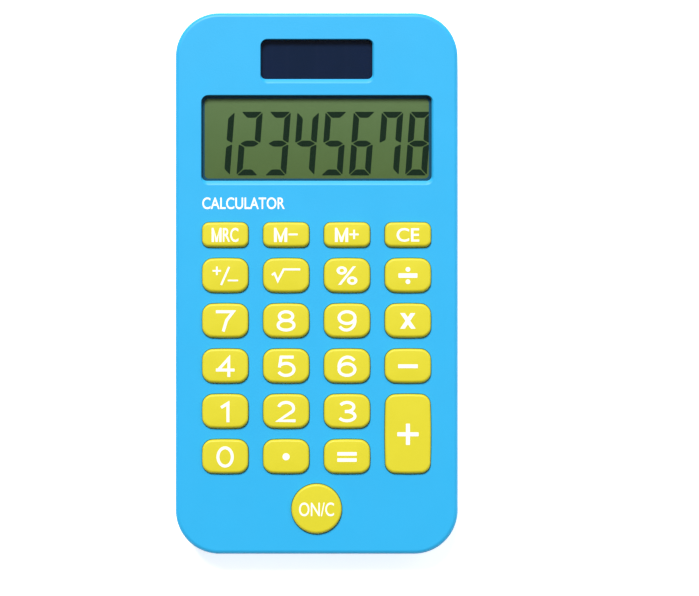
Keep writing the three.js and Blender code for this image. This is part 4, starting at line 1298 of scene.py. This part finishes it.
LIT = ["bc", "abged", "abgcd", "fgbc", "afgcd", "afgedc", "fabc", "abcdefg"]  # for 1 to 8
strokes = {letter: blunted(points) for letter, points in segments().items()}
left, bottom = FIRST_DIGIT
shown = []
for place, letters in enumerate(LIT):
    start = left + place * DIGIT_PITCH
    for letter in letters:
        points = [(start + x + y * SLANT, bottom + y) for x, y in strokes[letter]]
        shown.append(slab("stroke", points, field_high.z, field_high.z + INK))
digits = merged(shown)
digits.name = "lcd_segments"
hand_over(digits, "case", segment_ink, slot="polariser_film")

# %% The solar cell
sheet("solar_cell_block", "solar_cell", solar_silicon, 0.08, 0.2, "solar_glass")

# %% [markdown]
# ## Screws, feet, the button cell and its door
# These are what the back shows. A screw is turned, so it is a stack of circles with a cross cut
# into its head, and threads on its shank. A foot is a rubber disc with a worn edge. The button
# cell is two pressed cans with a gasket between them. The door has grip ridges and two tongues.

# %% Screws
THREAD_PITCH = 0.5
THREAD_ROOT = 0.78  # of the shank's radius
SCREW_POINT = 0.12  # radius at the very tip
HEAD_DOME = [(0.55, 0.0), (0.8, 0.07), (0.93, 0.22), (1, 0.45)]  # shares of radius and height


def screw(name, node, body, head_radius, head_height, shank_radius):
    """A cross-head screw, head down, with a threaded shank."""
    low, high = corners(node)
    x, y, _ = middle(node)
    seat = low.z + head_height
    root = shank_radius * THREAD_ROOT
    profile = [(head_radius * share, low.z + rise * head_height) for share, rise in HEAD_DOME]
    profile += [(head_radius, seat - REST_GAP), (shank_radius, seat - REST_GAP)]
    crest = seat + 0.2
    while crest + THREAD_PITCH < high.z - shank_radius:
        profile += [(root, crest), (shank_radius, crest + THREAD_PITCH * 0.45)]
        profile += [(shank_radius, crest + THREAD_PITCH * 0.55)]
        crest += THREAD_PITCH
    profile += [(root, high.z - shank_radius), (SCREW_POINT, high.z)]
    piece = turned(name, profile, x, y)
    arm, blade = head_radius * 1.15, head_radius * 0.26
    blades = [bar(arm, blade, x, y), rounded(blade, arm, blade * 0.12, x, y, 2)]
    slots = [slab("slot", blade, low.z - 1, low.z + head_height * 0.55) for blade in blades]
    combine(piece, "DIFFERENCE", *slots)
    smooth(piece, 30)
    hand_over(piece, body, screw_steel, node)


for node in SCREWS:
    screw(node.replace("case_", ""), node, "case", HEAD_RADIUS, HEAD_HEIGHT, SHANK_RADIUS)
screw("door_screw", "battery_door_screw", "battery_door", DOOR_HEAD, DOOR_HEAD_HEIGHT, DOOR_SHANK)

# %% Feet
FOOT_EDGE = 0.4
for node in FEET:
    low, high = corners(node)
    x, y, _ = middle(node)
    profile = [(foot_radius * 0.5, low.z + 0.03), (foot_radius * 0.62, low.z)]
    profile += [(foot_radius - inset, low.z + drop) for inset, drop in rim(FOOT_EDGE)]
    foot = turned(node.replace("foot_", "pad_"), [*profile, (foot_radius, high.z)], x, y)
    smooth(foot)
    hand_over(foot, "case", foot_rubber, node)

# %% The button cell
CAN_EDGE = 0.3
# (inset, drop) pairs over the gasket and up on to the smaller can.
CAN_TOP = [(0, 0.55), (0.12, 0.4), (0.45, 0.28), (0.55, 0.34), (0.85, 0.34), (1.0, 0.1), (1.15, 0)]
PLUS_DEPTH = 0.05

radius = (battery_high.x - battery_low.x) / 2
insets = [(radius * 0.6, battery_low.z + 0.02)]
insets += [(inset, battery_low.z + drop) for inset, drop in rim(CAN_EDGE)]
insets += [(inset, battery_high.z - drop) for inset, drop in CAN_TOP]
profile = [(radius - inset, height) for inset, height in insets]
button = turned("button_cell_can", profile, battery.x, battery.y, 72)
plus = []
for points in (bar(3.0, 0.5), bar(1.2, 0.5, 0, 0.9, 90), bar(1.2, 0.5, 0, -0.9, 90)):
    outline = moved(points, battery.x, battery.y)
    plus.append(slab("plus", outline, battery_low.z - 1, battery_low.z + PLUS_DEPTH))
combine(button, "DIFFERENCE", merged(plus))
smooth(button)
hand_over(button, "case", cell_steel, "button_cell")

# %% The battery door
GRIP_RIDGES = 5
GRIP_PITCH = 1.3
GRIP_FROM_HINGE = 4.0
DOOR_RIM = 0.25
# Size, corner radius and height of each outline of a groove's cutting tool.
GROOVE = [(9.4, 0.95, 0.4, -0.5), (9.2, 0.75, 0.35, 0), (8.8, 0.35, 0.15, 0.25)]

door_rings = [(inset, REAR_Z + drop) for inset, drop in rim(DOOR_RIM, steps=5)]
door_rings += [(0, FLOOR_Z - 0.1), (0.1, FLOOR_Z)]
door = stack("door", [(door_outline(-inset, DOOR_CORNER - inset), z) for inset, z in door_rings])
tongue_low = FLOOR_Z - TONGUE_THICKNESS
tongue = (TONGUE_WIDTH, 2 * TONGUE_LENGTH, tongue_low, FLOOR_Z - 0.01)
combine(door, "UNION", merged([block(*tongue, x, hinge_y, 0.25) for x in sides]))
grooves = []
for ridge in range(GRIP_RIDGES):
    y = hinge_y - GRIP_FROM_HINGE - ridge * GRIP_PITCH
    rings = [(rounded(*size, 0, y, 4), REAR_Z + rise) for *size, rise in GROOVE]
    grooves.append(stack("groove", rings))
door_seat = corners("battery_door_screw")[0].z + DOOR_HEAD_HEIGHT
head_room = flared(DOOR_HEAD + SIDE_GAP, door_seat, [door_screw])
shank_room = drums(DOOR_SHANK + REST_GAP, REAR_Z, FLOOR_Z + 1, [door_screw])
combine(door, "DIFFERENCE", merged(grooves), head_room, shank_room)
smooth(door)
hand_over(door, "battery_door", case_plastic, "battery_door")

# %% [markdown]
# ## What stays as it was packed
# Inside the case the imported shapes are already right, so they only need their finishes.

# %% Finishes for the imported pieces
INSIDE = {
    "lcd_reflector": reflector_foil,
    "zebra_strip": zebra_rubber,
    "rubber_mat": mat_silicone,
    "circuit_board": board_laminate,
    "chip_blob": chip_resin,
    "capacitor_chip": chip_ceramic,
    "resistor_chip": chip_ceramic,
    "battery_contact_negative": contact_steel,
    "battery_contact_positive": contact_steel,
    "battery_lead_red": red_insulation,
    "battery_lead_black": black_insulation,
    "solar_lead_red": red_insulation,
    "solar_lead_black": black_insulation,
}
for node, finish in INSIDE.items():
    for material_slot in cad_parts[node].material_slots:
        material_slot.material = finish.material

# %% [markdown]
# ## A plain word under the display
# Something is usually printed here, so the case carries the plainest word there is for it.

# %% The printed word
WORD_SIZE = (17.5, 2.5)
WORD_PLACE = (-15.5, 17.0)
word = lettering("CALCULATOR", *WORD_SIZE, BOLD)
word.data.transform(Matrix.Translation((*WORD_PLACE, FACE_Z)))
for vertex in word.data.vertices:
    vertex.co.z = FACE_Z + (INK if vertex.co.z > FACE_Z else -INK)
word.name = "printed_word"
hand_over(word, "case", print_ink, slot="case_plastic")
